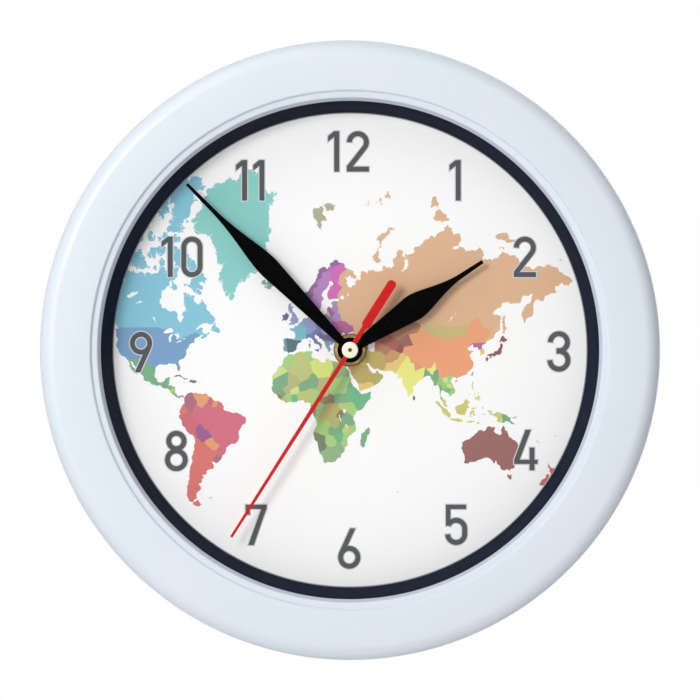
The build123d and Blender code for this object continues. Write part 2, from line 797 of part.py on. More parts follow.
def clutch_spring():
    """The thin washer that grips the centre wheel on the minute arbor."""
    back = centre_wheel_back - CLUTCH_THICKNESS
    return ring(CLUTCH_RADIUS, MINUTE_PIPE_RADIUS + HAND_FIT, back, centre_wheel_back)


def minute_arbor():
    """The pipe of the minute hand with its shoulder and cannon pinion."""
    back = centre_wheel_back - CLUTCH_THICKNESS
    front = hour_wheel_back - LAYER_AIR / 3
    pipe = disc(MINUTE_PIPE_RADIUS, back, minute_pipe_front)
    shoulder = disc(COLLAR_RADIUS, centre_wheel_front, motion_wheel_back - LAYER_AIR / 3)
    leaves = pinion(
        CANNON_TEETH,
        cannon_module,
        MOTION_ANGLE,
        motion_wheel_back - LAYER_AIR / 3,
        front,
        centre_axis,
    )
    body = pipe + shoulder + leaves
    return body - disc(SECONDS_ARBOR_RADIUS + RUNNING_FIT, back, minute_pipe_front)


def motion_wheel():
    """The wheel between minutes and hours, on the stem of the setting knob."""
    toward = MOTION_ANGLE + 180.0
    body = wheel(
        MOTION_TEETH,
        CANNON_TEETH,
        cannon_module,
        toward,
        motion_wheel_back,
        motion_wheel_front,
        motion_axis,
    )
    front = hour_wheel_front + LAYER_AIR / 3
    body += pinion(MOTION_PINION_TEETH, hour_module, toward, motion_wheel_front, front, motion_axis)
    end = chamber_front + PIVOT_DEPTH - RUNNING_FIT
    return body + disc(STEM_RADIUS, (knob_back + knob_front) / 2, end, motion_axis)


def setting_knob():
    """The grooved knob behind the movement that sets the hands."""
    body = disc(KNOB_RADIUS, knob_back, knob_front, motion_axis)
    for index in range(KNOB_GRIPS):
        at = polar(KNOB_RADIUS + KNOB_GRIP_DEPTH / 2, 360.0 * index / KNOB_GRIPS, motion_axis)
        body -= disc(KNOB_GRIP_DEPTH, knob_back, knob_front, at)
    return body - disc(STEM_RADIUS + HAND_FIT, (knob_back + knob_front) / 2, knob_front, motion_axis)


def hour_wheel():
    """The hour wheel with the pipe that carries the hour hand."""
    body = wheel(
        HOUR_TEETH,
        MOTION_PINION_TEETH,
        hour_module,
        MOTION_ANGLE,
        hour_wheel_back,
        hour_wheel_front,
        centre_axis,
    )
    body += disc(HOUR_PIPE_RADIUS, hour_wheel_back, hour_pipe_front)
    return body - disc(MINUTE_PIPE_RADIUS + RUNNING_FIT, hour_wheel_back, hour_pipe_front)


def coil_ends():
    """Outer faces of the two coil flanges in x."""
    reach = COIL_LENGTH / 2 + FLANGE_THICKNESS
    return rotor_axis[0] - reach, rotor_axis[0] + reach


def coil_core():
    """The iron bar through the coil, with ends that lie on the stator arms."""
    left, right = coil_ends()
    span_y = (COIL_HEIGHT - CORE_WIDTH / 2, COIL_HEIGHT + CORE_WIDTH / 2)
    back = motor_level() + STATOR_THICKNESS / 2
    return block((left - STATOR_ARM, right + STATOR_ARM), span_y, (back, back + STATOR_THICKNESS))


def stator():
    """The soft iron plate round the rotor, with two arms up to the coil core."""
    left, right = coil_ends()
    middle = motor_level()
    levels = (middle - STATOR_THICKNESS / 2, middle + STATOR_THICKNESS / 2)
    hole = MAGNET_RADIUS + MAGNET_GAP
    bar_y = (rotor_axis[1] - STATOR_RING, rotor_axis[1] + STATOR_RING)
    top = COIL_HEIGHT + CORE_WIDTH / 2
    body = disc(hole + STATOR_RING, levels[0], levels[1], rotor_axis)
    body += block((left - STATOR_ARM, right + STATOR_ARM), bar_y, levels)
    body += block((left - STATOR_ARM, left - COIL_FIT), (bar_y[0], top), levels)
    body += block((right + COIL_FIT, right + STATOR_ARM), (bar_y[0], top), levels)
    body -= disc(hole, levels[0], levels[1], rotor_axis)
    idle_tip = idle_module * (SMALL_PINION / 2 + PINION_ADDENDUM)
    seconds_tip = wheel_tip(SECONDS_TEETH, idle_module)
    body -= disc(idle_tip + STATOR_CLEARANCE, levels[0], levels[1], idle_axis)
    body -= disc(seconds_tip + STATOR_CLEARANCE, levels[0], levels[1])
    return body


def coil_level():
    """Middle level of the coil core."""
    return motor_level() + STATOR_THICKNESS


def coil_bobbin():
    """The plastic former of the coil: a square tube with two flanges."""
    left, right = coil_ends()
    half_tube = CORE_WIDTH / 2 + COIL_FIT + TUBE_WALL
    half_flange = FLANGE_SIZE / 2
    flange_y = (COIL_HEIGHT - half_flange, COIL_HEIGHT + half_flange)
    flange_z = (coil_level() - half_flange, coil_level() + half_flange)
    tube_z = STATOR_THICKNESS / 2 + COIL_FIT + TUBE_WALL
    body = block((left, left + FLANGE_THICKNESS), flange_y, flange_z)
    body += block((right - FLANGE_THICKNESS, right), flange_y, flange_z)
    body += block(
        (left, right),
        (COIL_HEIGHT - half_tube, COIL_HEIGHT + half_tube),
        (coil_level() - tube_z, coil_level() + tube_z),
    )
    core_y = CORE_WIDTH / 2 + COIL_FIT
    core_z = STATOR_THICKNESS / 2 + COIL_FIT
    body -= block(
        (left, right),
        (COIL_HEIGHT - core_y, COIL_HEIGHT + core_y),
        (coil_level() - core_z, coil_level() + core_z),
    )
    return body


def coil_winding():
    """The copper winding as one sleeve on the former."""
    left, right = coil_ends()
    length = COIL_LENGTH - 2 * COIL_FIT
    sleeve = Rot(0, 90, 0) * Cylinder(COIL_RADIUS, length)
    half_tube = CORE_WIDTH / 2 + 2 * COIL_FIT + TUBE_WALL
    tube_z = STATOR_THICKNESS / 2 + 2 * COIL_FIT + TUBE_WALL
    sleeve -= Box(length, 2 * half_tube, 2 * tube_z)
    return Pos((left + right) / 2, COIL_HEIGHT, coil_level()) * sleeve


def battery():
    """One cell lying across the bay, its raised end to the right."""
    can = BATTERY_LENGTH - BATTERY_NUB
    body = Cylinder(BATTERY_RADIUS, can, align=(Align.CENTER, Align.CENTER, Align.MIN))
    nub = Cylinder(BATTERY_NUB_RADIUS, BATTERY_NUB, align=(Align.CENTER, Align.CENTER, Align.MIN))
    body = fillet(body.edges().filter_by(GeomType.CIRCLE), BATTERY_EDGE) + Pos(0, 0, can) * nub
    return Pos(-BATTERY_LENGTH / 2, battery_y, battery_z) * Rot(0, 90, 0) * body


def contact(side):
    """A bent strip against one end wall of the battery bay, bowed toward the cell."""
    wall = inner_half
    tip = BATTERY_LENGTH / 2 + CONTACT_AIR
    half = CONTACT_WIDTH / 2
    outline = [
        Line((wall, -half), (wall, half)),
        Line((wall, half), (wall - CONTACT_THICKNESS, half)),
        ThreePointArc((wall - CONTACT_THICKNESS, half), (tip, 0.0), (wall - CONTACT_THICKNESS, -half)),
        Line((wall - CONTACT_THICKNESS, -half), (wall, -half)),
    ]
    face = make_face(outline)
    strip = extrude(Plane.XZ * face, CONTACT_WIDTH / 2, both=True)
    placed = Pos(0, battery_y, battery_z) * strip
    return placed if side > 0 else mirror(placed, Plane.YZ)


def positive_contact():
    """The strip at the raised end of the cell."""
    return contact(1)


def negative_contact():
    """The strip at the flat end of the cell."""
    return contact(-1)


def leaf_hand(length, width, widest, root_width, tip_width, hub, bore, low):
    """A flat leaf-shaped hand: straight taper out to its widest, then an S curve into a needle."""
    half = width / 2
    root = root_width / 2
    tip = tip_width / 2
    run = length - widest
    shoulder = (half * 0.955, widest - 0.035 * length)
    needle = (tip * 1.35, widest + 0.72 * run)
    right = [
        Line((root, 0), shoulder),
        Spline(
            shoulder,
            (half, widest),
            (half * 0.86, widest + 0.165 * run),
            (half * 0.55, widest + 0.345 * run),
            (half * 0.275, widest + 0.55 * run),
            needle,
        ),
        Line(needle, (tip, length)),
    ]
    left = [mirror(edge, Plane.YZ) for edge in right]
    outline = make_face(right + left + [Line((tip, length), (-tip, length)), Line((root, 0), (-root, 0))])
    blade = extrude(outline, HAND_THICKNESS)
    body = Pos(0, 0, low) * blade + disc(hub, low, low + HAND_THICKNESS)
    return body - disc(bore + HAND_FIT, low, low + HAND_THICKNESS)


def hour_hand():
    """The black leaf hand of the hours."""
    hand = leaf_hand(
        HOUR_LENGTH,
        HOUR_WIDTH,
        HOUR_WIDEST_AT,
        HOUR_ROOT_WIDTH,
        HOUR_TIP_WIDTH,
        HOUR_HUB_RADIUS,
        HOUR_PIPE_RADIUS,
        hour_hand_back,
    )
    return Rot(0, 0, -HOUR_READING) * hand


def hour_collar():
    """The collar under the hour hand."""
    return ring(HOUR_COLLAR_RADIUS, HOUR_PIPE_RADIUS + HAND_FIT, hour_collar_back, hour_hand_back)


def minute_hand():
    """The black leaf hand of the minutes."""
    hand = leaf_hand(
        MINUTE_LENGTH,
        MINUTE_WIDTH,
        MINUTE_WIDEST_AT,
        MINUTE_ROOT_WIDTH,
        MINUTE_TIP_WIDTH,
        MINUTE_HUB_RADIUS,
        MINUTE_PIPE_RADIUS,
        minute_hand_back,
    )
    return Rot(0, 0, -MINUTE_READING) * hand


def minute_collar():
    """The collar under the minute hand."""
    return ring(MINUTE_COLLAR_RADIUS, MINUTE_PIPE_RADIUS + HAND_FIT, minute_collar_back, minute_hand_back)


def second_hand():
    """The thin red hand with its counterweight bar."""
    root = SECOND_ROOT_WIDTH / 2
    tip = SECOND_TIP_WIDTH / 2
    bar = SECOND_TAIL_WIDTH / 2
    cut = SECOND_TAIL_CHAMFER
    right = [
        (tip, SECOND_LENGTH),
        (root, 0.0),
        (root, -SECOND_TAIL_START),
        (bar, -SECOND_TAIL_START - cut),
        (bar, -SECOND_TAIL + cut),
        (bar - cut, -SECOND_TAIL),
    ]
    left = [(-x, y) for x, y in reversed(right)]
    body = prism(right + left, second_hand_back, second_hand_front)
    body += disc(SECOND_HUB_RADIUS, second_hand_back, second_hand_front)
    body -= disc(SECONDS_ARBOR_RADIUS + HAND_FIT, second_hand_back, second_hand_front)
    return Rot(0, 0, -SECOND_READING) * body


def second_cap():
    """The polished cap over the second hand, with a dimple at its centre."""
    body = disc(CAP_RADIUS, second_hand_front, cap_front)
    body = fillet(body.edges().sort_by(Axis.Z)[-1], CAP_HEIGHT / 2)
    body -= disc(CAP_DIMPLE_RADIUS, cap_front - CAP_DIMPLE_DEPTH, cap_front)
    return body - disc(SECONDS_ARBOR_RADIUS + HAND_FIT, second_hand_front, cap_front - CAP_DIMPLE_DEPTH)


PIECES = {
    "bezel": bezel,
    "lens": lens,
    "spacer_ring": spacer_ring,
    "dial": dial,
    "back_case": back_case,
    "case_screws": case_screws,
    "rubber_washer": rubber_washer,
    "threaded_bush": threaded_bush,
    "nut_washer": nut_washer,
    "hex_nut": hex_nut,
    "movement_front_case": movement_front_case,
    "movement_rear_cover": movement_rear_cover,
    "middle_plate": middle_plate,
    "circuit_board": circuit_board,
    "timing_chip": timing_chip,
    "quartz_crystal": quartz_crystal,
    "coil_core": coil_core,
    "coil_bobbin": coil_bobbin,
    "coil_winding": coil_winding,
    "stator": stator,
    "rotor_magnet": rotor_magnet,
    "rotor_pinion": rotor_pinion,
    "idle_wheel": idle_wheel,
    "seconds_wheel": seconds_wheel,
    "seconds_pinion": seconds_pinion,
    "seconds_arbor": seconds_arbor,
    "third_wheel": third_wheel,
    "centre_wheel": centre_wheel,
    "clutch_spring": clutch_spring,
    "minute_arbor": minute_arbor,
    "motion_wheel": motion_wheel,
    "setting_knob": setting_knob,
    "hour_wheel": hour_wheel,
    "positive_contact": positive_contact,
    "negative_contact": negative_contact,
    "battery": battery,
    "hour_collar": hour_collar,
    "hour_hand": hour_hand,
    "minute_collar": minute_collar,
    "minute_hand": minute_hand,
    "second_hand": second_hand,
    "second_cap": second_cap,
}

os.makedirs("parts", exist_ok=True)
for name, piece in PIECES.items():
    shape = piece()
    bodies = shape if isinstance(shape, list) else [shape]
    turned_bodies = [Rot(90, 0, 0) * body for body in bodies]
    solids = [solid for body in turned_bodies for solid in body.solids()]
    export_step(Compound(children=solids) if len(solids) > 1 else solids[0], "parts/" + name + ".step")
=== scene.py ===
import math
import random

import bmesh
import bpy
import numpy as np
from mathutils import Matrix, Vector
from mathutils.geometry import delaunay_2d_cdt


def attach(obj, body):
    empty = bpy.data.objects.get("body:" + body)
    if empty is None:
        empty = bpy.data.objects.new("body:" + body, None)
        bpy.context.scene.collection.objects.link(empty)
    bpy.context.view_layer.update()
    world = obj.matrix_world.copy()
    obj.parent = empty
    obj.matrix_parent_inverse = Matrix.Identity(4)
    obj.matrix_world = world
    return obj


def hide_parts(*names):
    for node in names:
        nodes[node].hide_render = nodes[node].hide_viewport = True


# Pieces are drawn in millimetres in the dial frame: x to the right, y to twelve o'clock, z from the wall to
# the viewer. The function place() turns them into the frame of the CAD model, which is in metres.

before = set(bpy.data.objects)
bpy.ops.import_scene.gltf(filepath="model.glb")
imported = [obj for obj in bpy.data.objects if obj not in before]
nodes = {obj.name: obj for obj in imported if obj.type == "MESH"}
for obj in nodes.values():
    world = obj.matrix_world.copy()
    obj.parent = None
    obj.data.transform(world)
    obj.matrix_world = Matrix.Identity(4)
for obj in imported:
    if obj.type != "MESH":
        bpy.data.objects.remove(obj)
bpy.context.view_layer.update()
MM_PER_M = 1000

# Turned pieces of the front, as radii and levels
DIAL_SIGHT_RADIUS = 96.1
OPENING_RADIUS = 100.4
SIGHT_RADIUS = 101.9
STEP_FOOT = 104.25
STEP_EDGE = 104.37
STEP_TOP = 104.93
CROWN_RADIUS = 119.0
CASE_RADIUS = 125.0
SKIRT_RADIUS = 124.4
CASE_WALL = 2.2
LENS_WELL_RADIUS = 103.25
WELL_OUTER_RADIUS = 105.25
EDGE_ROLL = 6.0
SKIRT_LEVEL = 3.0
PANEL_LEVEL = 22.0
LENS_BACK = 34.8
LENS_FRONT = 36.8
LEDGE_LEVEL = 39.4
CHAMFER_LEVEL = 40.4
STEP_LEVEL = 41.0
BEZEL_FRONT = 41.2
BUSH_HOLE = 4.15
WASHER_RADIUS = 6.65
WASHER_GROOVES = (5.35, 6.05)
GROOVE_HALF = 0.14
GROOVE_DEPTH = 0.25
WASHER_FRONT = 23.3
SPACER_WALL = 1.2
SPACER_OUTER = 103.0
LIP_EDGE = 0.2

# Fineness of turned pieces: straight runs round a piece, on the rolled edge and on a rounded corner,
# and the angle in degrees past which an edge stays sharp
LATHE_STEPS = 288
WASHER_STEPS = 96
CELL_STEPS = 64
ROLL_STEPS = 16
ROUND_STEPS = 4
SHARP_ANGLE = 38

# Printed dial. PRINT_MATCH is the tolerance of its cut along the print, and a triangle whose middle lies
# within HOLE_SHARE of the hole's radius is left out.
DIAL_FRONT = 22.8
DIAL_RADIUS = 103.0
HOLE_STEPS = 64
HOLE_SHARE = 0.99
EDGE_LINE = (95.7, 96.6)
PRINT_MATCH = 1e-5
PRINT_LAYER = "print"

# Numerals: width of a stroke, its pale rim, half the height, degrees to a run of an arc, limit of a mitre
STROKE = 2.05
HALO = 0.42
NUMERAL_TOP = 8.2
ARC_STEP = 9
MITRE_LIMIT = 0.35

# Map: the circle that holds it, millimetres to a degree, and where longitude 0 and latitude 0 lie
PRINT_REACH = 99.0
DEGREE = 0.588
MERIDIAN_X = -21.6
EQUATOR_Y = -24.0

# Shores broken up by chance
COAST_SEED = 12
COAST_STEP = 0.45
COAST_ROUGHNESS = 0.16
POLAR_ROUGHNESS = 0.2
FJORDS = 220
FJORD_SOUTH = 58.0
FJORD_EAST = -10.0
FJORD_REACH = (0.5, 2.4)
FJORD_WIDTH = (0.16, 0.5)
FJORD_SLANT = (-0.7, 0.7)
FJORD_MOUTH = 0.3
ISLETS = 46
ISLET_SPAN = (-126.0, -74.0, 69.5, 79.0)
ISLET_RADIUS = (0.25, 0.8)
ISLET_CORNERS = 7
ISLET_RAGGED = (0.5, 1.3)

# Borders: the circle that holds them, samples along each, the tolerance of their cells, and the far points
# that close the outermost cells
BORDER_REACH = 101.5
BORDER_SAMPLES = 81
BORDER_MATCH = 1e-6
FAR_OFF = 400.0
FAR_POINTS = 6

# Battery, lying along x: radii of the can from the flat end to the nub, and lengths along it
CELL_RADIUS = 7.1
CELL_CORE = 0.02
CELL_BASE_RADIUS = 4.6
CELL_BASE_FOOT = 4.8
CELL_CRIMP_RADIUS = 6.5
CELL_CRIMP_FOOT = 6.6
CELL_SEAL_OUTER = 6.4
CELL_SEAL_INNER = 4.4
CELL_COLLAR_RADIUS = 4.1
CELL_NUB_RADIUS = 2.7
SLEEVE_INNER = 6.7
CELL_END = 25.2
CELL_NUB = 1.2
CELL_BASE_RISE = 0.25
CELL_SEAL_DEPTH = 0.1
SLEEVE_INSET = 0.6
CELL_BAND = (13.0, 16.0)
CELL_Y = -19.0
CELL_LEVEL = 10.295

# Camera: the frame is 700 pixels square, and the bezel spans 620 of them
FRAME_PIXELS = 700
BEZEL_PIXELS = 620
CAMERA_DISTANCE = 3.0
CLIP_END = 20.0
SENSOR = 36.0
OUTLINE_LEVEL = 35.2

# Floor in metres
FLOOR_LEVEL = -0.2
FLOOR_RADIUS = 1.0
FLOOR_STEPS = 96

# Lamps aimed at the clock: place in metres, width in metres, power in watts
LAMPS = [
    ("key", (-0.7, -1.5, 0.5), 0.65, 14.2),
    ("front", (-0.95, -2.4, 0.1), 1.4, 7.2),
    ("side", (-0.5, -0.5, 1.1), 0.7, 3.5),
    ("rear", (0.7, 1.6, 0.9), 1.4, 18.0),
]
AMBIENT = 0.292

# Plastics, paints and card: light and dark display colour, roughness, mottles in a metre, grains in a
# metre, height of the grain in metres, strength of reflection
PLASTICS = {
    "bezel_plastic": ((219, 226, 236), (215, 223, 233), 0.4, 22.0, 5200.0, 3e-6, 0.5),
    # The lip's greyer tint is painted shade for the recess round the lens
    "lip_painted_shade": ((192, 200, 213), (186, 194, 207), 0.5, 60.0, 4200.0, 4e-6, 0.2),
    "spacer_plastic": ((26, 31, 50), (21, 25, 43), 0.6, 160.0, 4200.0, 4e-6, 0.02),
    "card_back": ((238, 238, 236), (232, 232, 230), 0.7, 60.0, 2600.0, 4e-6, 0.5),
    "hand_black": ((3, 3, 4), (1, 1, 2), 0.7, 420.0, 3400.0, 6e-6, 0.01),
    "hand_red": ((208, 36, 34), (200, 31, 30), 0.6, 420.0, 3400.0, 6e-6, 0.05),
    "arbor_browned": ((92, 58, 48), (74, 46, 38), 0.5, 420.0, 3400.0, 6e-6, 0.3),
    "back_plastic": ((236, 238, 239), (230, 233, 235), 0.55, 40.0, 1500.0, 2e-5, 0.5),
    "movement_plastic": ((34, 34, 36), (28, 28, 30), 0.5, 120.0, 2200.0, 2e-5, 0.5),
    "knob_plastic": ((74, 74, 77), (66, 66, 69), 0.45, 120.0, 2200.0, 2e-5, 0.5),
    "white_plastic": ((228, 227, 222), (220, 219, 213), 0.45, 120.0, 2600.0, 1e-5, 0.5),
    "rubber": ((30, 30, 30), (22, 22, 22), 0.75, 200.0, 2600.0, 2e-5, 0.5),
    "board_lacquer": ((22, 92, 52), (16, 74, 42), 0.3, 300.0, 2600.0, 1e-5, 0.5),
    "chip_resin": ((20, 20, 20), (14, 14, 14), 0.25, 300.0, 1500.0, 1e-5, 0.5),
    "magnet_ferrite": ((92, 92, 95), (80, 80, 84), 0.55, 400.0, 3000.0, 1e-5, 0.5),
    "cell_sleeve": ((38, 74, 122), (32, 64, 108), 0.3, 120.0, 2600.0, 6e-6, 0.5),
    "cell_band": ((214, 216, 219), (204, 207, 211), 0.3, 120.0, 2600.0, 6e-6, 0.5),
}

# Metals: light and dark linear colour, roughness, stretch of the streaks along x, y and z
METALS = {
    "brass": ((0.53, 0.37, 0.15), (0.4, 0.27, 0.1), 0.27, (1.0, 1.0, 1.0)),
    "steel": ((0.62, 0.62, 0.63), (0.5, 0.5, 0.52), 0.3, (1.0, 1.0, 1.0)),
    "nickel": ((0.72, 0.7, 0.64), (0.62, 0.6, 0.55), 0.22, (1.0, 1.0, 1.0)),
    "copper_wire": ((0.72, 0.3, 0.14), (0.55, 0.2, 0.08), 0.35, (8.0, 1.0, 1.0)),
    "core_iron": ((0.4, 0.4, 0.41), (0.32, 0.32, 0.33), 0.45, (1.0, 1.0, 1.0)),
    "cell_can": ((0.68, 0.68, 0.67), (0.58, 0.58, 0.57), 0.3, (0.1, 1.0, 1.0)),
}

# CAD nodes that take a finish of these tables as it is
NODE_FINISHES = {
    "card_back": ["dial"],
    "hand_black": ["hour_hand", "hour_collar", "minute_hand", "minute_collar"],
    "hand_red": ["second_hand"],
    "arbor_browned": ["seconds_arbor"],
    "back_plastic": ["back_case"],
    "movement_plastic": ["movement_front_case", "movement_rear_cover"],
    "knob_plastic": ["setting_knob"],
    "white_plastic": [
        "rotor_pinion", "idle_wheel", "seconds_wheel", "seconds_pinion", "third_wheel", "centre_wheel",
        "minute_arbor", "motion_wheel", "hour_wheel", "middle_plate", "coil_bobbin",
    ],
    "rubber": ["rubber_washer"],
    "board_lacquer": ["circuit_board"],
    "chip_resin": ["timing_chip"],
    "magnet_ferrite": ["rotor_magnet"],
    "brass": ["threaded_bush", "hex_nut"],
    "steel": ["case_screws", "clutch_spring", "quartz_crystal", "battery"],
    "nickel": ["positive_contact", "negative_contact"],
    "copper_wire": ["coil_winding"],
    "core_iron": ["coil_core", "stator"],
}

# The span that noise mostly fills, and how far roughness varies
NOISE_SPAN = (0.2, 0.8)
GLOSS_SPREAD = 0.05

# Cap and washer: display and linear colours, including painted shade in the cap's dimple and at the
# washer's outer edge, and the distances from the axis in metres where they change
CAP_IVORY = (243, 241, 222)
CAP_DIMPLE_SHADE = (84, 58, 48)
CAP_SHADE_REACH = (0.00065, 0.00095)
WASHER_BRASS = (0.3, 0.205, 0.085, 1.0)
WASHER_EDGE_SHADE = (0.1, 0.06, 0.02, 1.0)
WASHER_SHADE_REACH = (0.0061, 0.0065)


def place(x, y, z):
    """A point of the dial frame in millimetres as a point of the CAD frame in metres."""
    return (x / MM_PER_M, -z / MM_PER_M, y / MM_PER_M)


def drawn(point):
    """A point of the CAD frame as x, y and z of the dial frame."""
    return (MM_PER_M * point.x, MM_PER_M * point.z, -MM_PER_M * point.y)


def linear(red, green, blue):
    """A display colour in steps of 255 as the linear colour that shaders take."""
    shades = []
    for value in (red, green, blue):
        share = value / 255
        shades.append(share / 12.92 if share <= 0.04045 else ((share + 0.055) / 1.055) ** 2.4)
    return (*shades, 1.0)


def add_object(name, data):
    """A new object of the scene."""
    made = bpy.data.objects.new(name, data)
    bpy.context.scene.collection.objects.link(made)
    return made


def add_piece(name, mesh, material, body, node):
    """A piece that rides on a body and stands for a CAD node."""
    mesh.materials.append(material)
    piece = add_object(name, mesh)
    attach(piece, body)
    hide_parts(node)
    return piece


# Materials


def start_material(name, colour, roughness, metallic=0.0, reflection=0.5):
    """A node material with its shader set to one colour, roughness and strength of reflection."""
    material = bpy.data.materials.new(name)
    material.use_nodes = True
    shader = material.node_tree.nodes["Principled BSDF"]
    shader.inputs["Base Color"].default_value = colour
    shader.inputs["Roughness"].default_value = roughness
    shader.inputs["Metallic"].default_value = metallic
    shader.inputs["Specular IOR Level"].default_value = reflection
    return material, shader


def add_node(tree, kind, inputs, links, **settings):
    """A new node with its settings, some of its inputs set and some linked to other nodes' outputs."""
    node = tree.nodes.new("ShaderNode" + kind)
    for name, value in settings.items():
        setattr(node, name, value)
    for name, value in inputs.items():
        node.inputs[name].default_value = value
    for name, socket in links.items():
        tree.links.new(socket, node.inputs[name])
    return node


def position(material, stretch):
    """The place in the CAD frame in metres, stretched along x, y and z."""
    coordinates = add_node(material.node_tree, "TexCoord", {}, {})
    links = {"Vector": coordinates.outputs["Object"]}
    return add_node(material.node_tree, "Mapping", {"Scale": stretch}, links).outputs["Vector"]


def noise(material, scale, detail=3.0, stretch=(1.0, 1.0, 1.0)):
    """Noise in the CAD frame, with scale as repeats in a metre."""
    links = {"Vector": position(material, stretch)}
    texture = add_node(material.node_tree, "TexNoise", {"Scale": scale, "Detail": detail}, links)
    return texture.outputs["Fac"]


def remap(material, value, low, high, new_low=0.0, new_high=1.0):
    """A value carried from one range to another and held within it."""
    ends = {"From Min": low, "From Max": high, "To Min": new_low, "To Max": new_high}
    return add_node(material.node_tree, "MapRange", ends, {"Value": value}).outputs["Result"]


def tint(material, shader, value, first, second):
    """The shader's colour as a mix of two colours by a value from 0 to 1."""
    tree = material.node_tree
    mix = add_node(tree, "Mix", {}, {"Factor": value}, data_type="RGBA")
    for socket in mix.inputs:
        if socket.type == "RGBA":
            socket.default_value = first if socket.name == "A" else second
    colour = next(socket for socket in mix.outputs if socket.type == "RGBA")
    tree.links.new(colour, shader.inputs["Base Color"])


def bump(material, shader, value, distance, strength=1.0):
    """Fine relief from a value, with its height in metres, over any relief that is there already."""
    tree = material.node_tree
    links = {"Height": value}
    for previous in shader.inputs["Normal"].links:
        links["Normal"] = previous.from_socket
    node = add_node(tree, "Bump", {"Strength": strength, "Distance": distance}, links)
    tree.links.new(node.outputs["Normal"], shader.inputs["Normal"])


def mottled(name, light, dark, roughness, mottle, grain, relief, reflection):
    """A dull surface: a faint mottle of two tints, uneven gloss and a fine skin."""
    material, shader = start_material(name, light, roughness, reflection=reflection)
    clouds = remap(material, noise(material, mottle), *NOISE_SPAN)
    tint(material, shader, clouds, light, dark)
    ends = (roughness - GLOSS_SPREAD, roughness + GLOSS_SPREAD)
    gloss = remap(material, noise(material, 3 * mottle), 0.1, 0.9, *ends)
    material.node_tree.links.new(gloss, shader.inputs["Roughness"])
    bump(material, shader, noise(material, grain, detail=2.0), relief)
    return material


def plastic(name):
    """A plastic, paint or card of the table."""
    light, dark, *surface = PLASTICS[name]
    return mottled(name, linear(*light), linear(*dark), *surface)


def metal(name):
    """Drawn or turned metal of the table, with fine streaks."""
    light, dark, roughness, stretch = METALS[name]
    material, shader = start_material(name, (*light, 1.0), roughness, metallic=1.0)
    streaks = remap(material, noise(material, 900.0, detail=4.0, stretch=stretch), 0.3, 0.7)
    tint(material, shader, streaks, (*light, 1.0), (*dark, 1.0))
    gloss = remap(material, streaks, 0.0, 1.0, roughness - GLOSS_SPREAD, roughness + 2 * GLOSS_SPREAD)
    material.node_tree.links.new(gloss, shader.inputs["Roughness"])
    bump(material, shader, streaks, 4e-6)
    return material


def bezel_material():
    """Pale blue-white moulded plastic with shallow sink marks."""
    material = plastic("bezel_plastic")
    shader = material.node_tree.nodes["Principled BSDF"]
    bump(material, shader, noise(material, 30.0, detail=1.0), 0.00035, strength=0.35)
    return material


def print_material():
    """The printed card: colours from the mesh under a faint paper grain."""
    material, shader = start_material("dial_card", linear(250, 250, 250), 0.7, reflection=0.15)
    tree = material.node_tree
    ink = add_node(tree, "VertexColor", {}, {}, layer_name=PRINT_LAYER)
    grain = remap(material, noise(material, 2600.0, detail=2.0), *NOISE_SPAN, 0.985, 1.0)
    links = {0: ink.outputs["Color"], "Scale": grain}
    card = add_node(tree, "VectorMath", {}, links, operation="SCALE")
    tree.links.new(card.outputs["Vector"], shader.inputs["Base Color"])
    bump(material, shader, noise(material, 5200.0, detail=2.0), 4e-6)
    return material


def lens_material():
    """The clear disc: light passes through, and a faint film shows at a slant; its pale colour is painted
    sheen for the lens's reflection, its gloss a real reflection.
    """
    material, shader = start_material("lens_clear", (0.9, 0.93, 0.95, 1.0), 0.08)
    slant = add_node(material.node_tree, "LayerWeight", {"Blend": 0.2}, {})
    # Painted sheen: the pale film grows toward a slant
    slant_sheen = remap(material, slant.outputs["Facing"], 0.0, 1.0, 0.001, 0.2)
    material.node_tree.links.new(slant_sheen, shader.inputs["Alpha"])
    return material


def from_axis(material):
    """Distance from the hands' axis in metres."""
    links = {0: position(material, (1.0, 0.0, 1.0))}
    return add_node(material.node_tree, "VectorMath", {}, links, operation="LENGTH").outputs["Value"]


def cap_material():
    """The ivory cap, with a brown spot of painted shade in its dimple."""
    material, shader = start_material("cap_ivory", linear(*CAP_IVORY), 0.3)
    # Painted shade: brown in the dimple about the axis
    dimple_shade = remap(material, from_axis(material), *CAP_SHADE_REACH, 1.0, 0.0)
    tint(material, shader, dimple_shade, linear(*CAP_IVORY), linear(*CAP_DIMPLE_SHADE))
    bump(material, shader, noise(material, 3000.0, detail=2.0), 2e-6)
    return material


def washer_material():
    """Turned brass: fine rings about the axis, and painted shade that darkens it toward the outer edge."""
    material, shader = start_material("washer_brass", WASHER_BRASS, 0.3, metallic=1.0)
    radius = from_axis(material)
    tree = material.node_tree
    rings = add_node(tree, "TexNoise", {"Scale": 4000.0}, {"W": radius}, noise_dimensions="1D")
    # Painted shade: darker toward the outer edge, where a contact shadow falls
    edge = remap(material, radius, *WASHER_SHADE_REACH)
    tint(material, shader, edge, WASHER_BRASS, WASHER_EDGE_SHADE)
    bump(material, shader, rings.outputs["Fac"], 1e-5)
    return material


def dress(names, material):
    """Gives CAD nodes one material."""
    for name in names:
        mesh = nodes[name].data
        mesh.materials.clear()
        mesh.materials.append(material)


# Outlines


def points_of(text):
    """Points from plain text, as pairs of numbers parted by commas."""
    return [tuple(float(number) for number in pair.split()) for pair in text.split(",")]


def circle(radius, steps):
    """Points round the hands' axis."""
    turns = [2 * math.pi * step / steps for step in range(steps)]
    return [(radius * math.cos(turn), radius * math.sin(turn)) for turn in turns]


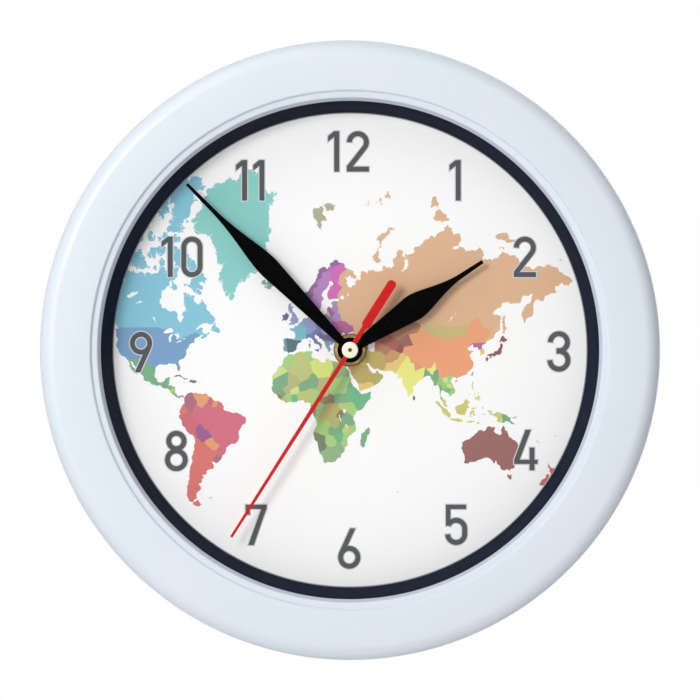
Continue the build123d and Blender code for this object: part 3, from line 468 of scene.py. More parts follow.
def arc(centre, across, up, start, end):
    """Points along an elliptic arc, angles in degrees from the x axis."""
    steps = max(2, math.ceil(abs(end - start) / ARC_STEP))
    line = []
    for step in range(steps + 1):
        angle = math.radians(start + (end - start) * step / steps)
        line.append((centre[0] + across * math.cos(angle), centre[1] + up * math.sin(angle)))
    return line


def oval(middle_y, across, up):
    """A whole ellipse about a point of the y axis."""
    return arc((0, middle_y), across, up, 0, 360)[:-1]


def shifted(line, distance, closed):
    """A line moved sideways to its left by a distance, with mitred corners."""
    count = len(line)
    moved = []
    for index in range(count):
        here = Vector(line[index])
        runs = []
        if closed or index > 0:
            runs.append((here - Vector(line[index - 1])).normalized())
        if closed or index < count - 1:
            runs.append((Vector(line[(index + 1) % count]) - here).normalized())
        normals = [Vector((-run.y, run.x)) for run in runs]
        middle = sum(normals, Vector((0.0, 0.0))).normalized()
        moved.append(tuple(here + middle * (distance / max(MITRE_LIMIT, middle.dot(normals[0])))))
    return moved


def roughen(start, end, step, roughness):
    """Points from start towards end, pushed sideways by chance at ever finer halves."""
    run = Vector(end) - Vector(start)
    if run.length <= step:
        return [start]
    middle = (Vector(start) + Vector(end)) / 2
    middle += Vector((-run.y, run.x)) * chance.uniform(-roughness, roughness)
    middle = tuple(middle)
    return roughen(start, middle, step, roughness) + roughen(middle, end, step, roughness)


# Numerals


def block(left, low, right, high):
    """An upright rectangle as a plate."""
    return ("plate", [(left, low), (right, low), (right, high), (left, high)])


def numeral_strokes(digit):
    """Strokes of one plain numeral about its own centre: rings, lines and plates."""
    top = NUMERAL_TOP
    half = STROKE / 2
    if digit == "0":
        return [("ring", arc((0, 3.9), 3.3, 3.3, 0, 180) + arc((0, -3.9), 3.3, 3.3, 180, 360))]
    if digit == "1":
        stem = [(0.2, -top), (2.25, -top), (2.25, top), (0.1, top), (-2.3, 6.2), (-2.3, 3.9), (0.2, 5.9)]
        return [("plate", stem)]
    if digit == "2":
        curve = arc((0, top - half - 3.45), 3.45, 3.45, 180, -38)
        foot = (curve[-1][0] - 6.5, curve[-1][1] - 8.3)
        return [("line", curve + [foot]), block(-4.5, -top, 4.5, STROKE - top)]
    if digit == "3":
        upper = arc((0, top - half - 3.45), 3.45, 3.45, 180, -90)
        lower = arc((0, half + 3.65 - top), 3.65, 3.65, 90, -180)
        return [("line", upper + [(-1.0, upper[-1][1])]), ("line", [(-1.0, lower[0][1])] + lower)]
    if digit == "4":
        slope = [(-0.15, top), (-4.75, -3.85), (-4.75, -5.65), (-2.5, -5.65), (-2.5, -3.95), (2.1, top)]
        return [("plate", slope), block(-4.75, -5.65, 4.75, -3.95), block(1.5, -top, 3.5, 1.0)]
    if digit == "5":
        bowl = arc((0, -1.6), 3.45, 3.45, 156, 0) + arc((0, -3.7), 3.45, 3.45, 0, -178)
        return [("line", bowl), block(-4.2, 6.35, 4.0, top), block(-4.2, -0.4, -2.3, top)]
    if digit == "7":
        slope = [(-3.2, -top), (-0.9, -top), (4.3, 6.9), (4.3, top), (2.1, 6.5)]
        return [block(-4.3, 6.4, 4.3, top), block(-4.3, 4.1, -2.5, top), ("plate", slope)]
    if digit == "8":
        return [("ring", oval(4.05, 3.1, 3.12)), ("ring", oval(-3.55, 3.6, 3.62))]
    turn = 1 if digit == "6" else -1
    slope = [(-4.2, -1.7), (-2.3, -2.5), (2.55, top), (0.3, top)]
    return [("ring", oval(-3.55 * turn, 3.5, 3.62)), ("plate", [(turn * x, turn * y) for x, y in slope])]


def stroke_shape(kind, line, spread):
    """Closed loops of one stroke, its edge moved out by a spread."""
    half = STROKE / 2 + spread
    if kind == "ring":
        return [shifted(line, half, True), shifted(line, -half, True)]
    if kind == "plate":
        return [shifted(line, -spread, True) if spread else line]
    ends = []
    for end, inner in ((line[0], line[1]), (line[-1], line[-2])):
        ends.append(tuple(Vector(end) + (Vector(end) - Vector(inner)).normalized() * spread))
    long_line = [ends[0]] + line[1:-1] + [ends[1]]
    return [shifted(long_line, half, False) + shifted(long_line, -half, False)[::-1]]


# Centres of the numerals on the dial, and where the digits of a pair stand beside that centre
NUMERALS = {
    "12": (-0.5, 80.4), "1": (42.6, 68.7), "2": (70.8, 37.7), "3": (84.6, -0.6), "4": (71.2, -40.5),
    "5": (43.0, -70.8), "6": (-0.3, -80.4), "7": (-38.0, -70.8), "8": (-70.3, -40.9), "9": (-84.6, -0.8),
    "10": (-67.9, 37.7), "11": (-40.0, 68.7),
}
PAIR_PLACES = {"12": (-6.1, 3.7), "10": (-6.1, 3.9), "11": (-3.9, 3.1)}


def numeral_shapes(spread):
    """Every numeral on the dial as a list of stroke shapes."""
    shapes = []
    for label, (x, y) in NUMERALS.items():
        offsets = PAIR_PLACES.get(label, (0.0,))
        for digit, offset in zip(label, offsets):
            for kind, line in numeral_strokes(digit):
                loops = stroke_shape(kind, line, spread)
                shapes.append([[(x + offset + px, y + py) for px, py in loop] for loop in loops])
    return shapes


# Map: a plain world outline in longitude and latitude, and a few points inside each land for its tint

# Display colours of the lands, the paper, the numerals with their rims, and the line round the dial
TINTS = {
    "sky": (137, 197, 217), "blue": (125, 163, 200), "aqua": (141, 206, 200), "sage": (127, 170, 151),
    "moss": (176, 176, 147), "leaf": (125, 180, 140), "lime": (180, 205, 120), "slate": (110, 120, 130),
    "rose": (210, 115, 132), "coral": (216, 121, 116), "brick": (205, 113, 121),
    "apricot": (226, 160, 118), "mauve": (175, 113, 132), "plum": (155, 100, 145),
    "dusk": (170, 130, 130), "steel": (149, 156, 194), "teal": (126, 186, 198), "ink": (95, 118, 127),
    "mist": (128, 156, 170), "iris": (121, 127, 172), "violet": (150, 110, 155),
    "orchid": (184, 135, 192), "magenta": (210, 113, 184), "lilac": (172, 142, 190),
    "grape": (182, 107, 157), "storm": (112, 108, 142), "azure": (130, 165, 205), "sand": (221, 181, 146),
    "peach": (235, 164, 124), "straw": (200, 185, 127), "honey": (230, 200, 128),
    "khaki": (192, 172, 106), "lemon": (234, 233, 135), "rust": (152, 94, 88), "clay": (178, 132, 104),
    "olive": (206, 201, 120), "fern": (126, 172, 130), "pear": (150, 205, 125),
    "pale_lime": (206, 222, 145), "umber": (157, 109, 105), "crimson": (214, 104, 108),
    "spring": (167, 206, 134), "chartreuse": (212, 226, 128), "dry": (186, 182, 128),
    "meadow": (130, 174, 138), "hay": (190, 198, 130), "reed": (149, 178, 130), "grass": (160, 196, 122),
    "pasture": (146, 182, 135), "lichen": (124, 136, 108), "jade": (116, 186, 140),
    "bronze": (142, 130, 98), "wheat": (181, 174, 112), "russet": (172, 104, 94), "tan": (202, 158, 110),
}
ISLET_TINT = "sky"
PAPER = (251, 251, 250)
CORE = (88, 89, 91)
RIM = (206, 210, 214)
LINE = (150, 154, 160)

CONTINENTS = {
    "north_america": """-140 69.7, -124 70, -120 69.5, -115 68.5, -110 68, -107 68.3, -104 68, -100 67.8,
        -97 68, -95 68.5, -94 70, -95 72, -92 71.5, -92 69.7, -90 68.7, -88 68, -87 67.3, -85 69.5,
        -82 69.5, -81.5 68.5, -82 67, -84 66.3, -86.5 66, -87 64.5, -90 63.8, -93 62, -94.5 60,
        -94.5 58.7, -92.5 57, -90 57, -86 55.8, -82.5 55.2, -82 53, -80.5 51.3, -79 51.5, -79 54.7,
        -77 55.8, -76.5 57.2, -78 58.8, -77.5 60, -78 62.3, -75 62.2, -73 61.3, -70 61, -69.5 59,
        -67.5 58.3, -66 58.8, -65 60.2, -62 57.3, -61 55.8, -57.5 54, -55.8 52.6, -56.8 51.5, -59 50.3,
        -66 50.2, -68.5 48.8, -70.8 47, -69 48, -66 49.1, -64.5 48.6, -65 47.2, -64.5 46.2, -62 45.8,
        -60.5 46.9, -60 46, -65.9 43.5, -66 44.5, -64.5 45.4, -67 44.8, -70.5 43.2, -70.8 42, -70 41.7,
        -74 40.6, -74.3 39.4, -76 37, -75.8 35.6, -81 31.8, -81.3 30, -80.2 27, -80.3 25.3, -81.2 25.3,
        -82.2 27, -82.8 29, -84 30, -85.5 29.8, -88 30.3, -89.5 29.3, -94 29.6, -96 28.5, -97.4 27,
        -97.8 22, -96 19, -94.5 18.2, -92 18.6, -90.7 19.5, -90.3 21, -88 21.6, -86.8 21.2, -88.8 15.9,
        -86 15.9, -83.3 15, -83.5 11, -82.2 9.2, -78 9.5, -77.2 8.2, -78 7.7, -79.5 8.8, -80.5 7.4,
        -82.8 8.2, -84 9.5, -85.8 10.2, -87.5 12.9, -92.3 14.6, -94.5 16.2, -96.5 15.7, -99.5 16.8,
        -105.3 19.8, -105.5 21.8, -109.5 26.7, -111.5 28.5, -113 31, -114.7 31.7, -114 30, -109.5 23,
        -110.3 23.4, -115 28, -117.1 32.5, -118.4 34, -120.6 34.6, -123.8 39.2, -124.2 41, -124 46.2,
        -124.6 48.3, -122.6 48.3, -123.2 49.2, -128 52, -130 54.5, -134 58, -140 60""",
    "south_america": """-77.2 8.2, -75.6 10.5, -74.8 11.1, -72 12, -71.5 11, -70 11.5, -68 10.6,
        -64.5 10.2, -62 10.7, -60.8 9, -59 8.3, -57.2 6, -54 5.8, -51.7 4.3, -50 1.5, -50.5 0, -44.5 -2.5,
        -39 -3.4, -37 -4.8, -35.3 -5.3, -34.8 -7.5, -35.2 -9.2, -38.7 -13, -39.5 -18.5, -40.8 -21.8,
        -42 -23, -44.5 -23.1, -46.5 -24.2, -48.6 -26, -48.8 -28.3, -52 -32.5, -53.6 -34, -55 -34.9,
        -58.3 -34, -56.8 -36.5, -57.8 -38.1, -62 -39, -62.3 -40.8, -65 -41, -63.7 -42.5, -65.2 -43.5,
        -65.5 -45, -67.5 -46, -65.8 -47.5, -67.5 -49, -69 -51, -68.4 -52.3, -70.5 -52.8, -71.2 -53.8,
        -74.3 -52.5, -75.5 -50, -75.6 -46.7, -73.7 -43, -73.8 -40, -73.3 -37, -71.8 -33.5, -71.5 -30,
        -70.5 -25.5, -70.2 -20, -71.5 -17.7, -75 -15.5, -76.3 -13.8, -79.8 -7, -81.2 -6, -81.2 -4.3,
        -80 -2.9, -80.9 -2.2, -80.4 -0.5, -77.2 4, -77.5 6.5""",
    "eurasia": """-9 37.1, -9.5 38.7, -8.8 41, -9.2 43.2, -7.7 43.8, -1.5 43.4, -1.2 46.2, -2.2 47.2,
        -4.7 47.9, -4.5 48.6, -1.6 48.6, -1.6 49.7, 0.2 49.6, 1.6 50.8, 3.5 51.4, 4.7 52.9, 8.6 53.8,
        8.1 56.8, 10.5 57.7, 10.3 56.3, 10.8 55.5, 9.8 54.9, 11 54.2, 14 54, 18.3 54.8, 19.5 54.4,
        21 55.3, 21 57, 22.5 57.7, 24.2 57.1, 24.4 58.4, 23.5 59.2, 25.5 59.6, 28 59.5, 30 60, 28 60.5,
        22.8 59.9, 21.4 60.8, 21.5 62.8, 25.3 65.2, 24 65.8, 22 65.5, 21.5 64.3, 18.5 62.7, 17.3 61.3,
        18.5 60, 17 58.7, 16.5 57, 15 56.1, 13 55.4, 11.5 58.5, 10.6 59.3, 8.5 58.2, 7 58, 5.5 59, 5 60.8,
        5.3 62.2, 8.5 63.5, 11 64.8, 13 66.2, 15 68, 18 69.5, 25.7 71.1, 28.5 71, 33 69.4, 37 68.8, 41 67,
        40 66.2, 33 66.7, 34.8 65, 37.5 63.9, 40 64.7, 40 65.7, 42 66.4, 44 66, 44 68, 43.5 68.6, 48 67.6,
        53 68.8, 54 68.3, 59 68.5, 60.5 69.8, 65 69.2, 67 69.6, 67 71.5, 69 73, 71.5 73.2, 72.8 72.5,
        72 68.5, 73.8 68.5, 74 70, 75 72.5, 78 72.3, 80.5 72.5, 80.5 73.6, 87 75, 92 75.8, 101 76.6,
        104 77.7, 107 77, 113 76, 112 74.5, 107 73.3, 110 74, 115 73.7, 119 73, 124 73.2, 127 73.5,
        129 71.2, 133 71.5, 137 71.5, 140 72.4, 146 72.4, 153 70.9, 160 69.7, 168 69.8, 170.5 69.2,
        175 69.8, 180 69, 184 67.5, 190 66, 187 64.4, 183 65.5, 178 64.5, 179.5 62.5, 174 61.7, 170.3 60,
        165 60, 163.3 58.5, 163 56.2, 160 53.2, 156.8 51, 155.7 53, 155.7 56, 158 58, 161.5 60, 163.5 62,
        156.5 61.5, 154.5 59.6, 145 59.3, 142 59, 135.3 54.7, 141 53, 140.3 50.5, 140.3 48.3, 136 44.5,
        130.7 42.3, 129.7 41, 127.5 39.8, 127.5 39.2, 129.3 37, 129.2 35.3, 126.5 34.4, 126.6 37,
        125 37.8, 124.7 39.5, 121.5 39, 121.8 40.8, 117.8 38.7, 119 37.2, 122.5 37.3, 119.2 35, 121.8 31,
        121.7 29, 119.7 26, 117.5 23.9, 114.5 22.5, 111.5 21.6, 110.2 20.4, 109.8 21.5, 108 21.6,
        106.5 20.2, 105.8 18.8, 108 16.5, 109.2 13, 109 11.5, 107 10.4, 105 8.7, 104.8 10.3, 102.6 12,
        100.2 13.3, 99.3 11, 99.3 9.3, 101 6.8, 102.7 6, 104.2 1.4, 103 1.7, 101 3, 100.3 5.6, 98.7 8,
        98.7 13, 97 17, 95.2 15.9, 94.3 16.2, 94.5 18.3, 91.7 22.5, 88 21.7, 85 19.5, 82.3 16.7,
        80.3 15.7, 79.8 10.4, 77.5 8.1, 76.3 9.8, 73.5 16, 72.8 19, 72.8 21.2, 70.8 20.8, 69 22.3,
        70.3 22.9, 67.5 23.8, 66.5 25.3, 61.6 25.2, 57.3 25.7, 56.5 27, 54.5 26.6, 51.5 27.9, 50 30,
        48.5 30.2, 48.2 29.3, 49.8 27, 50.3 25.5, 51.2 26, 51.5 24.4, 54 24.2, 56.2 26, 56.5 24.4,
        58.8 23.5, 59.8 22.4, 57.8 19.8, 57.7 18.9, 52.2 15.6, 48.7 14, 45 12.8, 43.3 12.7, 42.6 16.5,
        40.8 19.7, 37.3 24.3, 35.5 27.5, 34.9 29.4, 34.3 27.8, 32.6 29.9, 32.4 31.2, 34.3 31.3, 35.2 33,
        36 35.5, 36 36.7, 33.5 36.1, 30.6 36.8, 28 36.7, 26.5 38.3, 26.3 40, 29 41, 35 42, 38 41,
        41.5 41.5, 41.5 42.5, 37 45.2, 39 47.2, 36 46.6, 35 46, 36.4 45.4, 33.6 44.4, 32.6 45.4, 33.5 46,
        31 46.6, 28.6 43.8, 27.9 42.5, 28.9 41.2, 23 40.4, 22.8 39.5, 24 38, 22.4 36.5, 21.6 37,
        21.2 38.3, 20 39.7, 19.4 41.3, 18.5 42.5, 16.2 43.6, 14.8 44.9, 13.7 45, 13.6 45.7, 12.4 45.3,
        12.4 44.2, 13.6 43.5, 14.7 42.2, 16 41.9, 18.4 40.1, 17 40.5, 17 39, 16 38, 15.7 38.3, 16.1 39.3,
        8.8 44.4, 7.4 43.7, 3.2 43, 3.2 42, 0.8 41, -0.3 39.5, 0.1 38.7, -2.1 36.8, -4.5 36.6, -5.6 36,
        -6.3 36.8""",
    "africa": """-5.9 35.8, -2 35.1, 1 36.5, 9.5 37.3, 11 37, 10.3 35.5, 10.2 34.2, 11.5 33.1, 15.2 32.3,
        16 31.2, 19 30.3, 20 31, 20 32.4, 22 32.9, 25 31.6, 29 30.9, 31 31.5, 32.4 31.2, 32.6 29.9,
        33.6 27.8, 37.2 21, 37.4 18.8, 39.5 15.3, 43.2 12.3, 43.2 11.5, 44.5 10.5, 51.2 11.9, 50.8 9.5,
        48 4.5, 42 -1, 39.5 -4.5, 38.8 -6.5, 40.5 -10.5, 40.7 -15, 37 -17.7, 34.8 -19.9, 35.5 -23.5,
        32.9 -25.5, 32.6 -28, 30.5 -31, 27 -33.6, 22 -34.1, 20 -34.8, 18.3 -34, 18.2 -31.7, 15 -26,
        14.4 -22.5, 11.8 -18, 12.5 -13.5, 13.8 -11, 12.5 -6, 9 -1, 9.7 2, 9.7 4, 8.5 4.6, 6 4.3, 4.5 6.3,
        1.2 6, -2 4.8, -4.5 5.2, -7.5 4.4, -11.5 7, -16.8 12.4, -17.4 14.7, -16.5 16.2, -16.3 19.2,
        -17 21, -16 23.7, -12.9 27.9, -9.8 29.6, -9.6 31.4, -6.2 35""",
}

COUNTRIES = {
    "north_america": [
        ("sky", """-121 51.8, -113 51.8, -105 51.8, -97 51.8, -90.5 51, -84 49, -80.5 45.4,
            -76 46.6, -72.5 47.6, -67 47.4, -64 45.3, -124 51.8, -110 62, -95 66, -80 66, -72 57, -62 54,
            -86 68"""),
        ("blue", """-121 46, -113 46, -105 46, -97 46, -90 45.5, -85 43, -80 41.5, -76.5 42.6, -72.3 44,
            -69.3 45, -117 35, -112 34.5, -106 34.2, -100 32, -97.5 29.8, -90 32, -82 30, -124 46"""),
        ("leaf", "-113.5 30.2, -110 30, -105.5 28.4, -102.5 26, -99.5 24.8, -100 20, -94 17, -89 20"),
        ("fern", "-90.4 15.3"), ("jade", "-86.4 14.9"), ("lime", "-85.2 12.9"),
        ("sage", "-84 10, -80 8.5"),
    ],
    "south_america": [
        ("mauve", "-74 5.5, -73 2, -71.5 4.2"), ("coral", "-78.3 -1.4"),
        ("apricot", "-66.5 7.5, -63 6.8, -66 4"), ("brick", "-58.9 5.2"), ("apricot", "-56 4"),
        ("coral", "-53.2 3.9"),
        ("rose", """-68.5 0.2, -61.5 1, -55 0, -52 -8, -60 -6, -68 -6.5, -62 -10.5, -57.5 -15, -54 -20.5,
            -50 -22, -52.2 -28, -45 -10"""),
        ("brick", "-75.5 -5, -76 -9, -72 -14, -71.5 -10.5"), ("plum", "-66.5 -14, -65 -18.5, -62 -17.5"),
        ("apricot", "-59.5 -22.3, -57 -24.5"), ("mauve", "-55.7 -32.6"),
        ("coral", """-64.5 -25.5, -61 -28, -57.8 -29.5, -58.6 -33.5, -64 -35, -67 -31, -69 -42,
            -70.5 -48.5, -69.3 -22, -70.6 -28, -71.6 -33.5, -72.9 -41, -74 -47"""),
    ],
    "eurasia": [
        ("mist", "-8.3 41, -8.2 38.5"), ("ink", "-5.6 41.5, -5 38.5, -2 38.5, -1.5 41.4, 1.4 41.6"),
        ("teal", "-0.5 44.2, 1.8 44, 4.5 44.6, 5 47, 2 48, -3 48.2, 3 49.4"),
        ("steel", "4.6 51.2, 5.6 52.3"), ("steel", "8.6 49.3, 8 51.5, 10 53.2, 12.6 52.4, 11.8 49"),
        ("azure", "8.3 46.9"), ("violet", "9.3 56.2"),
        ("iris", "8.5 44.9, 11.5 45.2, 12.5 42.8, 15 41, 16.5 39.5"),
        ("lilac", "17 53, 17.5 51.2, 21.5 52, 20.5 53.6"), ("iris", "15 49.8, 14.5 47.4"),
        ("steel", "19 48.7, 19.2 47"), ("storm", "15.8 45.4, 17.8 44.2, 20.6 43.9"),
        ("grape", "23.5 46.5, 26.5 45.2"), ("storm", "25.2 42.7"), ("mist", "20.4 41.3"),
        ("azure", "22.2 39.4, 22.3 37.6, 24 41.1"), ("dusk", "27.5 39.5, 31 38.6, 35 39, 39 39, 43 39"),
        ("violet", "6.4 60.4, 8.4 62.2, 11.6 65, 14.6 67.4, 18.4 69.2, 24.6 70.6"),
        ("orchid", "13 57.5, 14 60, 14.5 62.8, 16.8 65.3, 20 67.3"),
        ("magenta", "24 61.5, 27 63.5, 26.3 66.5, 26.3 68.6"), ("lilac", "25.6 58.8"),
        ("orchid", "25.6 56.8"), ("violet", "23.6 55.4"), ("lilac", "27.5 53.5"),
        ("grape", "25.3 49.8, 29.5 49.6, 34 49.2, 37 48.2, 33.8 47, 34.2 45.3"),
        ("sand", """30.2 58.6, 31.5 56, 32 62, 32 66, 33 54.2, 37.5 51.7, 41 49, 40.5 46, 44.5 43.9,
            47 49.8, 53 52.6, 60.5 54, 67 56.6, 75.5 56, 82.5 53.5, 89 51.8, 97.5 52.6, 105 52.6,
            112.5 52, 118.5 52.2, 124 56, 131.5 50, 135 48.5, 133.8 45, 100 65, 70 65, 130 68, 160 66,
            185 66, 50 62, 40 58, 21.2 54.7"""),
        ("lilac", "43.4 42"), ("storm", "45 40.2"), ("clay", "48 40.5"),
        ("clay", "49.5 47.5, 55 49, 61.5 49, 67.5 52, 75 50.8, 81 48.6, 70 46"),
        ("russet", "58.5 43.5, 63 41.6, 67.5 40"), ("clay", "57 39.4, 61 37.6"), ("umber", "75 41.6"),
        ("rust", "71 38.6"), ("tan", "63.5 33, 66 35.2, 68.5 34.6"),
        ("khaki", "46.5 36, 50 34.5, 54 32, 57.5 34.5, 58.5 29.5, 55 28"), ("olive", "44 33, 42 34"),
        ("lime", "38.4 35"), ("wheat", "36.8 31"),
        ("khaki", "40 28.2, 43.5 25, 47 22.5, 45.5 19.5, 50 21"), ("honey", "45.5 15.6, 49.5 16"),
        ("wheat", "55.5 19.5, 57.2 22.3"), ("khaki", "53.8 23.4"),
        ("honey", "64 28, 67.5 27, 70 30, 72.5 33.2"),
        ("lemon", "71 24.5, 73.5 28.5, 76 31, 78.5 28, 77 20, 78 12, 85.5 24.8, 92.5 25.8, 94.5 27.5"),
        ("apricot", "83.8 28.4"), ("meadow", "90.2 24"), ("fern", "95 20.5, 96.8 24.5, 98.6 14.5"),
        ("pear", "101 16, 99.2 18.3, 99.2 9.5"), ("pale_lime", "102.6 19.8, 105.6 15.8"),
        ("spring", "105 21.6, 105.8 18.7, 107.9 14, 107 11.4"), ("jade", "104.6 12.8"),
        ("olive", "102 4"),
        ("peach", """76 37.6, 82.5 44, 87 46.3, 80 32.5, 85 30, 92 28.8, 97.3 28, 98.5 24.6, 101.5 23,
            106 24, 93 42.2, 98.5 41, 106.5 40.4, 112.5 42.4, 117 45, 119.5 48.2, 121.5 50.5, 127 47.8,
            131 46.2, 126.5 42.8, 115 32, 110 20.5"""),
        ("straw", "90.5 48.4, 96.5 47.5, 103.5 46.8, 110 46.2, 115.5 47.7"), ("grape", "126.6 40.2"),
        ("honey", "127.8 36.6"),
    ],
    "africa": [
        ("spring", "-6.8 32, -4.5 33.5"), ("pale_lime", "-13.6 24.6"), ("meadow", "-10.8 19.6, -9 17"),
        ("hay", "0 30, 3 33.5, 1.5 26.5, 6 27.5, 4.5 22.8"), ("spring", "9.4 34.6"),
        ("chartreuse", "13.5 29.5, 17 27, 21.5 27.5, 18 23.5"), ("reed", "28.5 28.5, 28 24.6, 32 25.5"),
        ("dry", "-2 18.5, -6.5 13.8, -3.5 16"), ("meadow", "7.5 16.5, 11.5 18.5, 5 14"),
        ("dry", "18.5 19, 18 14.5, 18.5 10.6"), ("spring", "27 17.5, 32 18.5, 30.5 13.5, 26.5 13"),
        ("meadow", "28.5 8, 32 7.4"), ("jade", "38.5 9, 41.5 7, 38.5 13"), ("fern", "38.8 15.5"),
        ("jade", "45.5 5, 48.5 9, 43 1.5"), ("spring", "37.8 0.7, 39.5 -1"), ("lime", "32.4 1.4"),
        ("meadow", "34.5 -6, 36.5 -9"), ("bronze", "29.9 -2.7"),
        ("wheat", "23.5 1.5, 27.5 -1, 23.5 -5, 26.5 -8.5, 18.5 -3.5, 27 -11"),
        ("reed", "15.2 -1, 16.5 1.5"), ("lichen", "11.7 -0.6"), ("spring", "12.6 5.4, 13.8 9"),
        ("bronze", "19 6.4, 23 6.8"), ("hay", "6.5 8, 8.5 11, 5.5 11"), ("lime", "1.9 9"),
        ("jade", "-1.2 8"), ("spring", "-5.6 7.6"), ("dry", "-9.3 6.4"), ("fern", "-10.8 10.4"),
        ("bronze", "-11.8 8.6"), ("meadow", "-14.6 14.3"), ("pale_lime", "-1.6 12.5"),
        ("grass", "14.5 -9.5, 17.5 -12, 20 -10.5, 19 -15"), ("fern", "24.5 -14.5, 28 -14.4, 31 -11.5"),
        ("olive", "34 -13"), ("spring", "38.3 -13.6, 36 -16.6, 34 -19.5, 33.3 -23.5"),
        ("jade", "29.6 -18.9"), ("spring", "24 -22.3, 22.5 -20.5"), ("lichen", "17 -20, 17 -25"),
        ("pasture", "19.8 -29.5, 22.5 -27.6, 26.5 -27.4, 29.8 -25, 30 -29, 24 -32.5"),
    ],
}

